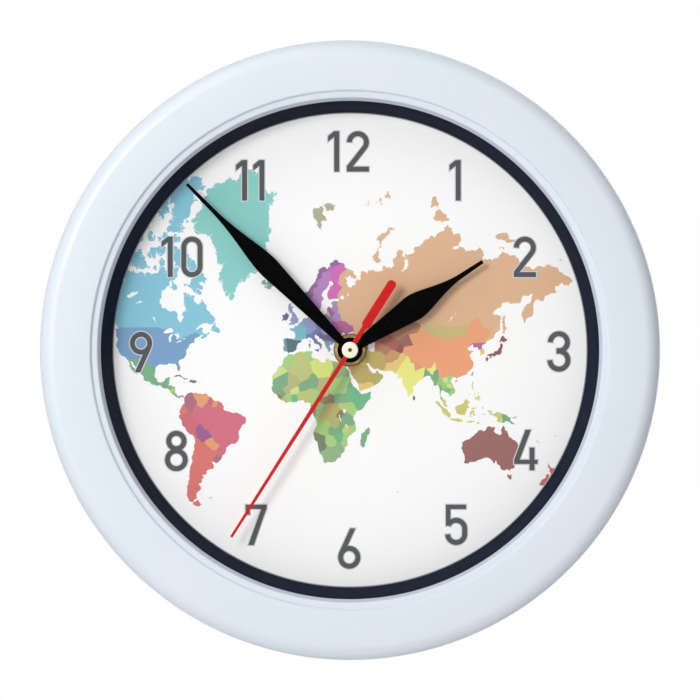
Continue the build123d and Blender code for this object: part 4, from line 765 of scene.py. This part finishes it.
ISLANDS = {
    "sky": [
        """-115 69.3, -110 68.8, -105 69, -102 69.6, -105 71.5, -106 73.3, -110 73, -114 73.3, -118 72.5,
            -117 71""",
        "-102 71.5, -97 71.6, -97 73.7, -101 73.8", "-95.5 72.2, -90.5 72.7, -90.5 73.9, -95 74",
        "-99 69, -96 68.6, -96 69.7, -98.5 69.8",
        """-89.5 72.5, -89.8 71.3, -86.5 70.2, -84.8 71.3, -84.5 70, -81.5 69.7, -78.5 69.8, -76.2 69,
            -73.5 68.3, -72.7 66, -73.8 64.7, -78 64.6, -77.5 64, -74.5 64.3, -71.5 63, -65.5 61.8,
            -66 62.8, -68.5 63.7, -65 63, -64.5 64, -67.5 65.4, -65 65.8, -63 65, -61.8 66.5, -64 67.7,
            -67 68.8, -68.5 70, -78 72.6, -81 73.5, -85 73.8, -88 73.3""",
        "-87 64, -85.5 66, -81.5 64.2, -84 63, -87 63.6",
        "-92 74.7, -86 74.5, -80.5 74.7, -80 75.7, -84.5 75.8, -88.5 75.6, -89.5 76.4, -92.2 76.4",
        "-96 74.7, -93.5 74.8, -93.6 75.6, -96 75.5", "-102 75.2, -98 75, -97.8 76.4, -101.5 76.4",
        "-115 75, -106 75, -106 76.2, -109 76.5, -116 76.3",
        """-89 76.4, -81 76.2, -78.2 76.8, -78 78, -75.5 78.5, -73 79.5, -68 80.6, -62 82.2, -65 82.9,
            -72 83.1, -80 82.8, -86 82.3, -91 81.7, -88 80.4, -84 80.4, -86.5 79.6, -85 78.8, -88 78.4,
            -87 77.5, -89.5 77""",
        "-95.5 80.6, -91 81.2, -88.5 80.2, -87.5 79.2, -92 78.3, -95.5 79.3",
        "-105 78, -100 77.8, -100 78.8, -104 78.8",
        "-59.3 47.7, -56 46.9, -53 46.7, -52.8 47.8, -53.8 48.8, -55.7 49.6, -55.6 51.5, -57 50.8",
    ],
    "aqua": [
        """-44 59.9, -48 60.9, -50 62.3, -53.8 66.5, -53.5 68, -51 69.2, -51 69.9, -54.7 70.2, -54.5 71.3,
            -55.5 73, -58 75, -62.5 76.2, -68.5 76.1, -71 77, -73 78.2, -68 79.3, -62 81.2, -57 82.2,
            -50 82.5, -36 83.6, -28 83.4, -22 82.5, -25 82.2, -20 81.5, -13 81.6, -16 80.3, -19 79.5,
            -19 77.5, -20 76, -18.8 75, -21 74, -22 72.5, -24 71.5, -22 70.6, -25 70.2, -22.3 70,
            -26 68.6, -32 68, -35 66.3, -38 65.7, -40.5 64.5, -42 62.8, -43 60.8""",
    ],
    "sage": [
        """-24.3 65.5, -22.5 66.4, -21.3 65.5, -16 66.5, -13.6 64.9, -15 64.3, -18.7 63.4, -22.6 63.9,
            -22 64.5, -24 64.9""",
        "-78.3 18.3, -76.3 18.1, -77.3 17.8", "164 -20.2, 167 -22.4, 166 -22.2",
        "177.3 -18, 178.6 -17.6, 178.2 -18.3",
    ],
    "moss": [
        "11 79.5, 14 79.8, 17.5 80, 18.5 79, 21.5 78.3, 17.5 76.6, 14 77.6, 13.3 78.3, 11.5 78.9",
        "18 80.2, 23 80.4, 27 80.2, 25 79.5, 20 79.5",
    ],
    "sand": [
        "47 80.2, 51 80.1, 50 80.9", "54 80.4, 59 80.2, 58 81", "60.5 81.2, 64.5 80.9, 63 81.7",
        "52 71, 57.5 70.7, 56 72, 55.5 73.3, 62 75.8, 68 76.8, 66 77, 60 76.2, 55.5 75, 51.5 72",
        "95 79, 99.5 78, 105 78.3, 103 79, 100 79.4", "92 80, 97.5 79.8, 97 80.6, 95 81.2",
        "137 75.8, 144 75, 150.5 75.2, 146 75.7, 140 76.1",
        "139.5 73.4, 143.5 73.2, 142.5 73.8, 140 73.9", "178.8 71, 183 71, 181.5 71.6",
        "142 46, 142.2 53.3, 143 54.3, 143.3 51.5, 144.5 49, 143 47, 143.4 46.1",
    ],
    "coral": [
        "-68.5 -52.7, -65.3 -54.7, -68.5 -55.3, -71.5 -54.5, -70.3 -53.5",
        "-61 -51.5, -57.8 -51.5, -59 -52.3",
    ],
    "slate": [
        "-84.9 21.9, -82.8 23, -80 23, -74.2 20.2, -77.5 19.9, -78.2 20.8, -81.8 22.2",
        "-74.4 18.4, -73.2 19.9, -70 19.8, -68.4 18.6, -71.5 17.7, -72.5 18.2",
        "120.2 23, 121.5 25.2, 121.8 24.5, 120.8 22", "79.8 8, 80.3 9.7, 81.8 7.5, 81 6.1, 80 6.2",
        "69 -49, 70.3 -49.3, 69.3 -49.7",
    ],
    "blue": ["-67.2 18.4, -65.7 18.3, -66.5 17.9"],
    "steel": [
        """-5.5 50.1, 1 50.9, 1.4 51.3, 0.7 51.6, 1.7 52.7, 0.3 53, -0.2 54, -1.6 55.3, -3 56, -2 57.6,
            -4 57.7, -3.2 58.6, -5 58.6, -5.8 57.5, -5.6 56, -4.8 54.8, -3.2 54.9, -3 53.5, -4.5 53.2,
            -4.2 52.4, -5.1 51.8, -3.2 51.4, -4.3 51.1""",
    ],
    "storm": ["-10 51.7, -6.4 52.2, -5.6 54.7, -7.5 55.3, -8.6 54.4, -10 54.2, -9.2 53.2, -10 52.3"],
    "violet": ["11.2 55.2, 12.6 55.9, 12.3 55, 11.5 54.8"],
    "iris": ["12.5 38, 15.6 38.2, 15.1 36.7, 13 37.4", "8.3 39, 8.2 41, 9.6 40.9, 9.5 39.2"],
    "teal": ["8.6 42.3, 9.4 43, 9.4 41.5"],
    "azure": ["23.6 35.4, 26.3 35.2, 24.8 34.9"],
    "meadow": ["49.3 -12, 50.4 -15.7, 47 -25, 45.2 -25.5, 43.7 -23.3, 44.4 -20, 44.4 -16.5, 46.5 -15.5"],
    "olive": [
        "95.3 5.5, 97.5 5.2, 103.5 0, 104.5 -2, 106 -3, 105.8 -5.8, 104.5 -5.8, 102 -3.8, 98.7 1.8, 96 4",
        "105.2 -6.8, 106.5 -6, 108.5 -6.7, 110.8 -6.4, 114.4 -7.8, 114.4 -8.7, 108 -7.8",
        """109 1.5, 113 3.3, 116.8 7, 119.2 5.2, 117.8 3.5, 119 1, 117.5 0.5, 115.8 -4, 114.5 -4,
            110.2 -2.8, 109.9 -1, 109 0.3""",
        """119.5 -5.5, 120.4 -5.5, 120.4 -3, 121.2 -2.7, 122.3 -4.8, 123 -4, 121.5 -1.9, 123.3 -0.9,
            120.2 -0.9, 120.3 0.3, 123 0.4, 125 1.6, 123 0.9, 120.3 0.8, 119 -2.8""",
        "116.8 -8.5, 122.8 -8.2, 122.8 -8.7, 116.8 -9", "127.6 0.4, 128.6 0.6, 128 2, 127.5 1.4",
        "128 -3, 130.8 -3.1, 130 -3.6, 128 -3.4",
        """131 -0.8, 134 -0.8, 134.3 -2.5, 135 -3.3, 137.8 -1.5, 141 -2.6, 141 -9.1, 138 -8.4, 138 -7,
            138.7 -6.5, 138 -5.5, 135.5 -4.4, 133 -4, 132.8 -2.8, 134 -2.3, 132 -2.1""",
    ],
    "lime": ["123.6 -10.3, 127.2 -8.4, 125 -8.7"],
    "fern": [
        """141 -2.6, 144.5 -3.8, 145.8 -5.4, 147.8 -6, 147 -6.8, 148.5 -8.7, 150.8 -10.3, 147.5 -10,
            146 -8.5, 143.5 -8.3, 143 -9.2, 141 -9.1""",
        "148.4 -5.7, 151.5 -4.9, 152.2 -4.2, 151 -5.8, 149.5 -6.2",
    ],
    "pale_lime": [
        "120.3 16, 120.6 18.5, 122.2 18.4, 121.6 16, 121.7 14.2, 124 12.8, 120.7 13.8",
        "122 7, 123.5 8.6, 125.4 9.7, 126.5 7.5, 125.4 5.7, 124 6.5",
        "122 10.6, 123 11.4, 123 9.4, 122.4 9.7", "124.4 12.4, 125.5 11.2, 125 10.2, 124.5 11",
        "117.3 8.4, 119.6 11.2, 119.2 10.2, 117.8 8.6",
    ],
    "peach": ["108.7 19.3, 110.7 20, 110.3 18.6, 109 18.3"],
    "rust": [
        """130.9 34.3, 132.7 35.5, 135.5 35.6, 136.8 37.3, 138.5 37.3, 139.7 39, 140.2 41.1, 141.5 41.3,
            142 39.5, 141 37.8, 140.8 35.7, 139.8 35, 136.8 34.4, 135.7 33.5, 135.2 34.6, 132.5 34.2""",
        "129.7 33.2, 131 33.9, 132 32.8, 131.2 31.3, 130.2 31.3",
        "132.4 33.5, 134.5 34.2, 134.2 33.3, 133 32.8",
        "140 41.5, 140.3 43.2, 141.7 45.4, 143.3 44.2, 145.3 43.4, 143.2 42, 141 42.5",
    ],
    "umber": [
        """114.2 -21.8, 116.8 -20.6, 119 -20, 121.8 -18, 122.3 -17, 123.8 -16.3, 125.5 -14.3, 127 -14,
            128.3 -15, 129.7 -14.8, 130.8 -12.4, 132.6 -11.5, 136.9 -12.3, 135.7 -14.8, 139.3 -17.4,
            140.9 -17.3, 142.2 -10.9, 143.5 -14, 145.3 -15, 146.2 -18.7, 148.8 -20.3, 153 -25.5,
            153.5 -28.5, 152.5 -32.3, 150.8 -34.8, 150 -37.3, 147.5 -38, 146.3 -39, 144.7 -38.2,
            143.5 -38.8, 140.5 -38, 139.6 -36, 138.2 -35.6, 137.8 -32.8, 136.5 -34.8, 135.5 -34.7,
            134.2 -33, 131.2 -31.5, 128 -32, 124 -33.2, 123.5 -34, 120 -34, 118 -35, 115.1 -34.3,
            115.7 -32, 113.4 -26""",
        "144.7 -40.8, 148.2 -40.9, 148 -43, 146.8 -43.6, 145.4 -42.6",
    ],
    "crimson": [
        """172.7 -34.5, 176 -37.6, 178.5 -37.7, 176.8 -40.5, 175.2 -41.6, 174.8 -40, 173.8 -39.3,
            174.7 -38""",
        """172.7 -40.6, 174.2 -41.5, 172.8 -43.7, 170.8 -45.9, 168.5 -46.6, 166.5 -45.9, 168.3 -44,
            171.3 -42.3""",
    ],
}

LAKES = [
    "-92 46.7, -89 48.2, -86 48.6, -84.6 47, -87 46.5",
    "-87.9 43, -87.3 41.7, -86.3 42.5, -86.3 44.5, -85 45.9, -87.3 45.6",
    "-84.3 46, -82 46.1, -80.2 44.8, -82.4 43.2", "-83.3 41.8, -81 42.6, -79 42.8, -80.5 42, -82.5 41.5",
    "-79.6 43.3, -77 44, -76.4 44, -77.5 43.3",
    "-98.8 53.7, -97.5 53, -96.5 50.7, -97.2 51.5, -98.8 52.8",
    "-117 61, -114 62.3, -110 62.8, -109.5 62.4, -112 61.4", "-111 58.7, -106.5 59.3, -108 59.6",
    "-124 66.5, -120 65.6, -118 66.4, -121 67",
    """47 45, 49 46.5, 51.5 46.9, 53 45.3, 51.2 44.5, 54 41, 53.5 39.5, 53.8 37, 51 36.7, 49 37.6,
        49.3 40, 47.7 42.8""",
    "103.8 51.5, 106 52.3, 109.3 54.5, 109.7 55.7, 108.5 54, 105.5 51.7",
    "30.5 60.2, 32.6 60.3, 32.3 61.4, 30.3 61.2", "35 61, 36.2 61.3, 35.6 62.6, 34.6 62",
    "31.8 -0.5, 33.8 0, 33.5 -2.4, 32 -2.5", "29.2 -3.6, 29.6 -5.5, 31 -8.7, 30.6 -7, 29.7 -4.4",
    "34 -9.8, 34.8 -11.5, 35.2 -14, 34.4 -12",
]


def printed(longitude, latitude):
    """A place on the map as a point of the dial, drawn so that compass lines stay straight."""
    rise = math.degrees(math.log(math.tan(math.pi / 4 + math.radians(latitude) / 2)))
    x = MERIDIAN_X + DEGREE * longitude
    y = EQUATOR_Y + DEGREE * rise
    reach = min(1.0, PRINT_REACH / math.hypot(x, y))
    return (x * reach, y * reach)


def coast(text):
    """A closed shore from its few chosen points, broken up by chance like a real one."""
    pairs = points_of(text)
    shore = []
    for start, end in zip(pairs, pairs[1:] + pairs[:1]):
        stretch = 1 / math.cos(math.radians(start[1]))
        roughness = COAST_ROUGHNESS + POLAR_ROUGHNESS * min(1.0, (stretch - 1) / 2)
        shore += roughen(printed(*start), printed(*end), COAST_STEP, roughness)
    return shore


def turning(loop):
    """1 for a loop that runs anticlockwise, -1 for one that runs clockwise."""
    double_area = sum(x0 * y1 - x1 * y0 for (x0, y0), (x1, y1) in zip(loop, loop[1:] + loop[:1]))
    return 1 if double_area > 0 else -1


def fjords(shores):
    """Narrow inlets that run into the land from chance places on the northern shores, as wedges."""
    east, south = printed(FJORD_EAST, FJORD_SOUTH)
    places = [(shore, k) for shore in shores for k, (x, y) in enumerate(shore) if x < east and y > south]
    cuts = []
    for shore, k in chance.sample(places, FJORDS):
        here = Vector(shore[k])
        along = (Vector(shore[(k + 1) % len(shore)]) - Vector(shore[k - 1])).normalized()
        inward = Vector((-along.y, along.x)) * turning(shore)
        side = along * chance.uniform(*FJORD_WIDTH) / 2
        tip = here + (inward + along * chance.uniform(*FJORD_SLANT)) * chance.uniform(*FJORD_REACH)
        mouth = here - FJORD_MOUTH * inward
        cuts.append([tuple(mouth - side), tuple(tip), tuple(mouth + side)])
    return cuts


def islets():
    """Small ragged islands strewn by chance over the northern archipelago."""
    west, east, south, north = ISLET_SPAN
    made = []
    for _ in range(ISLETS):
        x, y = printed(chance.uniform(west, east), chance.uniform(south, north))
        size = chance.uniform(*ISLET_RADIUS)
        turns = sorted(chance.uniform(0, 2 * math.pi) for _ in range(ISLET_CORNERS))
        islet = []
        for turn in turns:
            reach = size * chance.uniform(*ISLET_RAGGED)
            islet.append((x + reach * math.cos(turn), y + reach * math.sin(turn)))
        made.append(islet)
    return made


def within(points, loops):
    """Which points lie inside a shape, by counting the edges of its loops to their right."""
    inside = np.zeros(len(points), bool)
    x, y = points[:, 0], points[:, 1]
    for loop in loops:
        for (x0, y0), (x1, y1) in zip(loop, loop[1:] + loop[:1]):
            if y0 != y1:
                crosses = (y0 > y) != (y1 > y)
                inside ^= crosses & (x < (x1 - x0) * (y - y0) / (y1 - y0) + x0)
    return inside


def centre_of_three(a, b, c):
    """The point at one distance from three others."""
    twice = 2 * (a.x * (b.y - c.y) + b.x * (c.y - a.y) + c.x * (a.y - b.y))
    sizes = (a.length_squared, b.length_squared, c.length_squared)
    x = (sizes[0] * (b.y - c.y) + sizes[1] * (c.y - a.y) + sizes[2] * (a.y - b.y)) / twice
    y = (sizes[0] * (c.x - b.x) + sizes[1] * (a.x - c.x) + sizes[2] * (b.x - a.x)) / twice
    return (x, y)


def held_in(start, end, reach):
    """The part of a straight run that lies in a circle about the hands' axis, if any does."""
    start, end = Vector(start), Vector(end)
    run = end - start
    half = start.dot(run)
    room = half * half - run.length_squared * (start.length_squared - reach * reach)
    if room <= 0:
        return None
    first = max(0.0, (-half - math.sqrt(room)) / run.length_squared)
    last = min(1.0, (-half + math.sqrt(room)) / run.length_squared)
    if first >= last:
        return None
    return tuple(start.lerp(end, first)), tuple(start.lerp(end, last))


def borders(land, seeds):
    """Lines halfway between points of different countries, kept where they cross the land."""
    spots = seeds + [(point, None) for point in circle(FAR_OFF, FAR_POINTS)]
    made = delaunay_2d_cdt([Vector(spot) for spot, _ in spots], [], [], 0, BORDER_MATCH)
    corners, cells, sources = made[0], made[2], made[3]
    owner = [spots[source[0]][1] for source in sources]
    beside = {}
    for cell in cells:
        middle = centre_of_three(*(corners[corner] for corner in cell))
        for a, b in zip(cell, cell[1:] + cell[:1]):
            beside.setdefault((min(a, b), max(a, b)), []).append(middle)
    runs = [ends for (a, b), ends in beside.items() if owner[a] != owner[b] and len(ends) == 2]
    runs = [run for run in (held_in(*ends, BORDER_REACH) for ends in runs) if run]
    shares = np.linspace(0, 1, BORDER_SAMPLES)
    samples = [np.outer(1 - shares, start) + np.outer(shares, end) for start, end in runs]
    on_land = within(np.concatenate(samples), [land]).reshape(len(runs), len(shares)).any(1)
    return [list(run) for run, kept in zip(runs, on_land) if kept]


def dial_lands():
    """Every land with the points that give its tints, and the borders inside it."""
    lands = []
    lines = []
    for name, text in CONTINENTS.items():
        loop = coast(text)
        seeds = []
        for number, (colour, places) in enumerate(COUNTRIES[name]):
            seeds += [(printed(*pair), (colour, number)) for pair in points_of(places)]
        lands.append((loop, seeds))
        lines += borders(loop, seeds)
    for colour, texts in ISLANDS.items():
        for loop in map(coast, texts):
            lands.append((loop, [(loop[0], (colour, 0))]))
    for loop in islets():
        lands.append((loop, [(loop[0], (ISLET_TINT, 0))]))
    return lands, lines


def cut_dial(loops, lines):
    """Corners and triangles of the dial, cut along every printed outline."""
    points = []
    edges = []
    for line, closed in [(loop, True) for loop in loops] + [(line, False) for line in lines]:
        first = len(points)
        points += [Vector(point) for point in line]
        edges += [(first + k, first + k + 1) for k in range(len(line) - 1)]
        if closed:
            edges.append((first + len(line) - 1, first))
    made = delaunay_2d_cdt(points, edges, [], 0, PRINT_MATCH)
    return np.array([tuple(corner) for corner in made[0]]), np.array(made[2])


def print_colours(spots, lands, lakes, cores, halos):
    """The display colour of each triangle, from the point at its middle."""
    colours = [PAPER] * len(spots)
    for loop, seeds in lands:
        places = np.array([seed for seed, _ in seeds])
        for index in np.flatnonzero(within(spots, [loop])):
            nearest = np.argmin(((places - spots[index]) ** 2).sum(1))
            colours[index] = TINTS[seeds[nearest][1][0]]
    for shapes, colour in (([[lake] for lake in lakes], PAPER), (halos, RIM), (cores, CORE)):
        for shape in shapes:
            for index in np.flatnonzero(within(spots, shape)):
                colours[index] = colour
    reach = np.hypot(spots[:, 0], spots[:, 1])
    for index in np.flatnonzero((reach > EDGE_LINE[0]) & (reach < EDGE_LINE[1])):
        colours[index] = LINE
    return colours


def paint(faces, layer, colour):
    """Gives faces of the dial one display colour."""
    for face in faces:
        for loop in face.loops:
            loop[layer] = linear(*colour)


def on_rim(vertex):
    """Whether a point of the dial's back lies on its outer rim, and not on the rim of its hole."""
    return vertex.co.xz.length > DIAL_SIGHT_RADIUS / MM_PER_M


def closing_faces(shaper):
    """The dial's edges behind its open face, and a flat back in triangles from rim to hole."""
    edges = [edge for edge in shaper.edges if edge.is_boundary]
    back = {}
    for edge in edges:
        for vertex in edge.verts:
            if vertex not in back:
                back[vertex] = shaper.verts.new((vertex.co.x, -PANEL_LEVEL / MM_PER_M, vertex.co.z))
    made = []
    for edge in edges:
        first, second = edge.verts
        made.append(shaper.faces.new((first, second, back[second], back[first])))
    ring = sorted(back.values(), key=lambda vertex: math.atan2(vertex.co.z, vertex.co.x))
    latest = {on_rim(vertex): vertex for vertex in ring}
    for vertex in ring:
        made.append(shaper.faces.new((latest[True], latest[False], vertex)))
        latest[on_rim(vertex)] = vertex
    return made


def card_mesh(corners, faces, colours):
    """A closed mesh of the dial: its coloured face, plain edges and a plain back."""
    shaper = bmesh.new()
    layer = shaper.loops.layers.float_color.new(PRINT_LAYER)
    used, triangles = np.unique(faces, return_inverse=True)
    front = [shaper.verts.new(place(x, y, DIAL_FRONT)) for x, y in corners[used]]
    for triangle, colour in zip(triangles.reshape(faces.shape), colours):
        paint([shaper.faces.new([front[corner] for corner in triangle])], layer, colour)
    paint(closing_faces(shaper), layer, PAPER)
    bmesh.ops.recalc_face_normals(shaper, faces=shaper.faces)
    mesh = bpy.data.meshes.new("printed_dial")
    shaper.to_mesh(mesh)
    shaper.free()
    return mesh


def printed_dial():
    """The card with its map and numerals, cut from one sheet so that the print lies in its face."""
    lands, lines = dial_lands()
    lakes = [coast(text) for text in LAKES] + fjords([loop for loop, _ in lands])
    cores = numeral_shapes(0.0)
    halos = numeral_shapes(HALO)
    loops = [circle(DIAL_RADIUS, LATHE_STEPS), circle(BUSH_HOLE, HOLE_STEPS)]
    loops += [circle(radius, LATHE_STEPS) for radius in EDGE_LINE]
    loops += [loop for loop, _ in lands] + lakes
    loops += [loop for shape in cores + halos for loop in shape]
    corners, faces = cut_dial(loops, lines)
    middles = corners[faces].mean(1)
    reach = np.hypot(middles[:, 0], middles[:, 1])
    on_card = (reach > BUSH_HOLE * HOLE_SHARE) & (reach < DIAL_RADIUS)
    colours = print_colours(middles[on_card], lands, lakes, cores, halos)
    mesh = card_mesh(corners, faces[on_card], colours)
    add_piece("printed_dial", mesh, print_material(), "case", "dial")


# Turned pieces


def rounded(corners):
    """An outline of radius and level with its corners cut back by their own lengths and rounded."""
    outline = []
    count = len(corners)
    for index, (radius, level, soft) in enumerate(corners):
        here = Vector((radius, level))
        if not soft:
            outline.append(tuple(here))
            continue
        before = Vector(corners[index - 1][:2])
        after = Vector(corners[(index + 1) % count][:2])
        start = here + (before - here).normalized() * soft
        end = here + (after - here).normalized() * soft
        for step in range(ROUND_STEPS + 1):
            share = step / ROUND_STEPS
            outline.append(tuple(start.lerp(here, share).lerp(here.lerp(end, share), share)))
    return outline


def upright(radius, angle, level):
    """A point about the hands' axis."""
    return (radius * math.cos(angle), radius * math.sin(angle), level)


def lying(radius, angle, along):
    """A point about the battery's axis."""
    return (along, CELL_Y + radius * math.cos(angle), CELL_LEVEL + radius * math.sin(angle))


def turned(name, outline, material, node, steps=LATHE_STEPS, axis=upright, body="case"):
    """A piece turned from a closed outline of distances from an axis and along it."""
    count = len(outline)
    points = []
    faces = []
    for step in range(steps):
        points += [place(*axis(radius, 2 * math.pi * step / steps, along)) for radius, along in outline]
        here, there = step * count, (step + 1) % steps * count
        for k in range(count):
            after = (k + 1) % count
            faces.append((here + k, here + after, there + after, there + k))
    mesh = bpy.data.meshes.new(name)
    mesh.from_pydata(points, [], faces)
    shaper = bmesh.new()
    shaper.from_mesh(mesh)
    bmesh.ops.recalc_face_normals(shaper, faces=shaper.faces)
    shaper.to_mesh(mesh)
    shaper.free()
    mesh.shade_smooth()
    mesh.set_sharp_from_angle(angle=math.radians(SHARP_ANGLE))
    return add_piece(name, mesh, material, body, node)


def cell_outline(sleeve):
    """Section of the dry cell from the flat end to the contact nub, its sleeve between two levels."""
    base = CELL_BASE_RISE - CELL_END
    shoulder = CELL_END - CELL_NUB
    seal = shoulder - CELL_SEAL_DEPTH
    return rounded([
        (CELL_CORE, -CELL_END, 0.0),
        (CELL_BASE_RADIUS, -CELL_END, 0.15),
        (CELL_BASE_FOOT, base, 0.1),
        (CELL_CRIMP_RADIUS, base, 0.2),
        (CELL_CRIMP_FOOT, sleeve[0], 0.1),
        (CELL_RADIUS, sleeve[0], 0.15),
        (CELL_RADIUS, CELL_BAND[0], 0.0),
        (CELL_RADIUS, CELL_BAND[1], 0.0),
        (CELL_RADIUS, sleeve[1], 0.3),
        (CELL_CRIMP_RADIUS, sleeve[1], 0.1),
        (CELL_SEAL_OUTER, seal, 0.2),
        (CELL_SEAL_INNER, seal, 0.2),
        (CELL_COLLAR_RADIUS, shoulder, 0.1),
        (CELL_NUB_RADIUS, shoulder, 0.1),
        (CELL_NUB_RADIUS, CELL_END, 0.3),
        (CELL_CORE, CELL_END, 0.0),
    ])


def battery():
    """The dry cell: a steel can with crimped ends and its contact nub, in a printed sleeve."""
    sleeve = (SLEEVE_INSET - CELL_END, CELL_END - CELL_NUB - SLEEVE_INSET)
    outline = cell_outline(sleeve)
    can = metal("cell_can")
    piece = turned("cell_can", outline, can, "battery", CELL_STEPS, lying, "cell")
    piece.data.materials.append(plastic("cell_sleeve"))
    piece.data.materials.append(plastic("cell_band"))
    for face in piece.data.polygons:
        x, y, z = drawn(face.center)
        if sleeve[0] < x < sleeve[1] and math.hypot(y - CELL_Y, z - CELL_LEVEL) > SLEEVE_INNER:
            face.material_index = 2 if CELL_BAND[0] < x < CELL_BAND[1] else 1


def bezel_outline():
    """Section of the front ring, from the lens well over the face and round the rolled edge."""
    corners = [
        (LENS_WELL_RADIUS, PANEL_LEVEL, 0.0),
        (LENS_WELL_RADIUS, LENS_FRONT, 0.0),
        (OPENING_RADIUS, LENS_FRONT, 0.12),
        (SIGHT_RADIUS, LEDGE_LEVEL, 0.45),
        (STEP_FOOT, LEDGE_LEVEL, 0.05),
        (STEP_EDGE, CHAMFER_LEVEL, 0.05),
        (STEP_TOP, STEP_LEVEL, 0.1),
    ]
    for step in range(ROLL_STEPS + 1):
        angle = math.pi / 2 * (1 - step / ROLL_STEPS)
        radius = CROWN_RADIUS + EDGE_ROLL * math.cos(angle)
        corners.append((radius, BEZEL_FRONT - EDGE_ROLL + EDGE_ROLL * math.sin(angle), 0.0))
    corners += [
        (SKIRT_RADIUS, SKIRT_LEVEL, 0.4),
        (SKIRT_RADIUS - CASE_WALL, SKIRT_LEVEL, 0.4),
        (CASE_RADIUS - CASE_WALL, BEZEL_FRONT - EDGE_ROLL, 0.0),
        (CROWN_RADIUS, BEZEL_FRONT - CASE_WALL, 0.0),
        (WELL_OUTER_RADIUS, STEP_LEVEL - CASE_WALL, 0.0),
        (WELL_OUTER_RADIUS, PANEL_LEVEL, 0.0),
    ]
    return rounded(corners)


def bezel_ring(material):
    """The front ring, with the lip round the lens matt and a shade greyer: painted shade for its recess."""
    ring = turned("bezel_ring", bezel_outline(), material, "bezel")
    ring.data.materials.append(plastic("lip_painted_shade"))
    # Faces of the lip take the greyer tint, which is painted shade
    for face in ring.data.polygons:
        x, y, z = drawn(face.center)
        if math.hypot(x, y) < SIGHT_RADIUS - LIP_EDGE and z > LENS_FRONT:
            face.material_index = 1


def spacer_outline():
    """Section of the dark flared ring."""
    return rounded([
        (DIAL_SIGHT_RADIUS, DIAL_FRONT, 0.15),
        (OPENING_RADIUS, LENS_BACK, 0.0),
        (SPACER_OUTER, LENS_BACK, 0.0),
        (SPACER_OUTER, LENS_BACK - SPACER_WALL, 0.0),
        (OPENING_RADIUS + SPACER_WALL, LENS_BACK - SPACER_WALL, 0.0),
        (DIAL_SIGHT_RADIUS + SPACER_WALL, DIAL_FRONT, 0.0),
    ])


def washer_outline():
    """Section of the brass washer under the nut, with two turned grooves and a rounded rim."""
    corners = [(BUSH_HOLE, DIAL_FRONT, 0.0), (BUSH_HOLE, WASHER_FRONT, 0.1)]
    for middle in WASHER_GROOVES:
        for side, depth in ((-1, 0.0), (-1, GROOVE_DEPTH), (1, GROOVE_DEPTH), (1, 0.0)):
            corners.append((middle + side * GROOVE_HALF, WASHER_FRONT - depth, 0.05))
    corners += [(WASHER_RADIUS, WASHER_FRONT, 0.2), (WASHER_RADIUS, DIAL_FRONT, 0.0)]
    return rounded(corners)


# Stage


def add_floor():
    """A pale disc below the clock."""
    mesh = bpy.data.meshes.new("floor")
    shaper = bmesh.new()
    bmesh.ops.create_circle(shaper, cap_ends=True, segments=FLOOR_STEPS, radius=FLOOR_RADIUS)
    shaper.to_mesh(mesh)
    shaper.free()
    light, dark = (0.87, 0.87, 0.87, 1.0), (0.85, 0.85, 0.85, 1.0)
    surface = {"roughness": 0.8, "mottle": 6.0, "grain": 400.0, "relief": 2e-5, "reflection": 0.2}
    mesh.materials.append(mottled("floor_pale", light, dark, **surface))
    floor = add_object("floor", mesh)
    floor.location = (0, 0, FLOOR_LEVEL)


def add_surround():
    """Plain light from all round, which the camera, metal and glass see as white."""
    world = bpy.data.worlds.new("surround")
    bpy.context.scene.world = world
    world.use_nodes = True
    tree = world.node_tree
    background = tree.nodes["Background"]
    background.inputs["Color"].default_value = (1.0, 1.0, 1.0, 1.0)
    path = add_node(tree, "LightPath", {}, {})
    seen = path.outputs["Is Camera Ray"]
    for ray in ("Is Glossy Ray", "Is Transmission Ray"):
        both = {0: seen, 1: path.outputs[ray]}
        seen = add_node(tree, "Math", {}, both, operation="MAXIMUM").outputs[0]
    strength = add_node(tree, "MapRange", {"To Min": AMBIENT, "To Max": 1.0}, {"Value": seen})
    tree.links.new(strength.outputs["Result"], background.inputs["Strength"])


def add_lamps():
    """Soft round lamps that face the clock."""
    for name, location, size, energy in LAMPS:
        lamp = bpy.data.lights.new(name, "AREA")
        lamp.shape = "DISK"
        lamp.size = size
        lamp.energy = energy
        holder = add_object(name, lamp)
        holder.location = location
        holder.rotation_euler = (-Vector(location)).to_track_quat("-Z", "Y").to_euler()


def add_camera():
    """A camera straight in front of the dial, and plain display colours."""
    data = bpy.data.cameras.new("camera")
    data.sensor_width = SENSOR
    width = 2 * CASE_RADIUS / MM_PER_M * FRAME_PIXELS / BEZEL_PIXELS
    data.lens = SENSOR * CAMERA_DISTANCE / width
    data.clip_end = CLIP_END
    camera = add_object("camera", data)
    camera.location = (0, -OUTLINE_LEVEL / MM_PER_M - CAMERA_DISTANCE, 0)
    camera.rotation_euler = (math.pi / 2, 0, 0)
    bpy.context.scene.camera = camera
    bpy.context.scene.view_settings.view_transform = "Standard"


# A material for every CAD node, whether it stays in sight or a finer piece stands for it
for finish, names in NODE_FINISHES.items():
    dress(names, metal(finish) if finish in METALS else plastic(finish))
bezel_plastic = bezel_material()
spacer_plastic = plastic("spacer_plastic")
washer_brass = washer_material()
dress(["bezel"], bezel_plastic)
dress(["spacer_ring"], spacer_plastic)
dress(["nut_washer"], washer_brass)
dress(["second_cap"], cap_material())
dress(["lens"], lens_material())

chance = random.Random(COAST_SEED)
bezel_ring(bezel_plastic)
turned("spacer_flare", spacer_outline(), spacer_plastic, "spacer_ring")
turned("washer_ring", washer_outline(), washer_brass, "nut_washer", WASHER_STEPS)
printed_dial()
battery()
add_floor()
add_surround()
add_lamps()
add_camera()
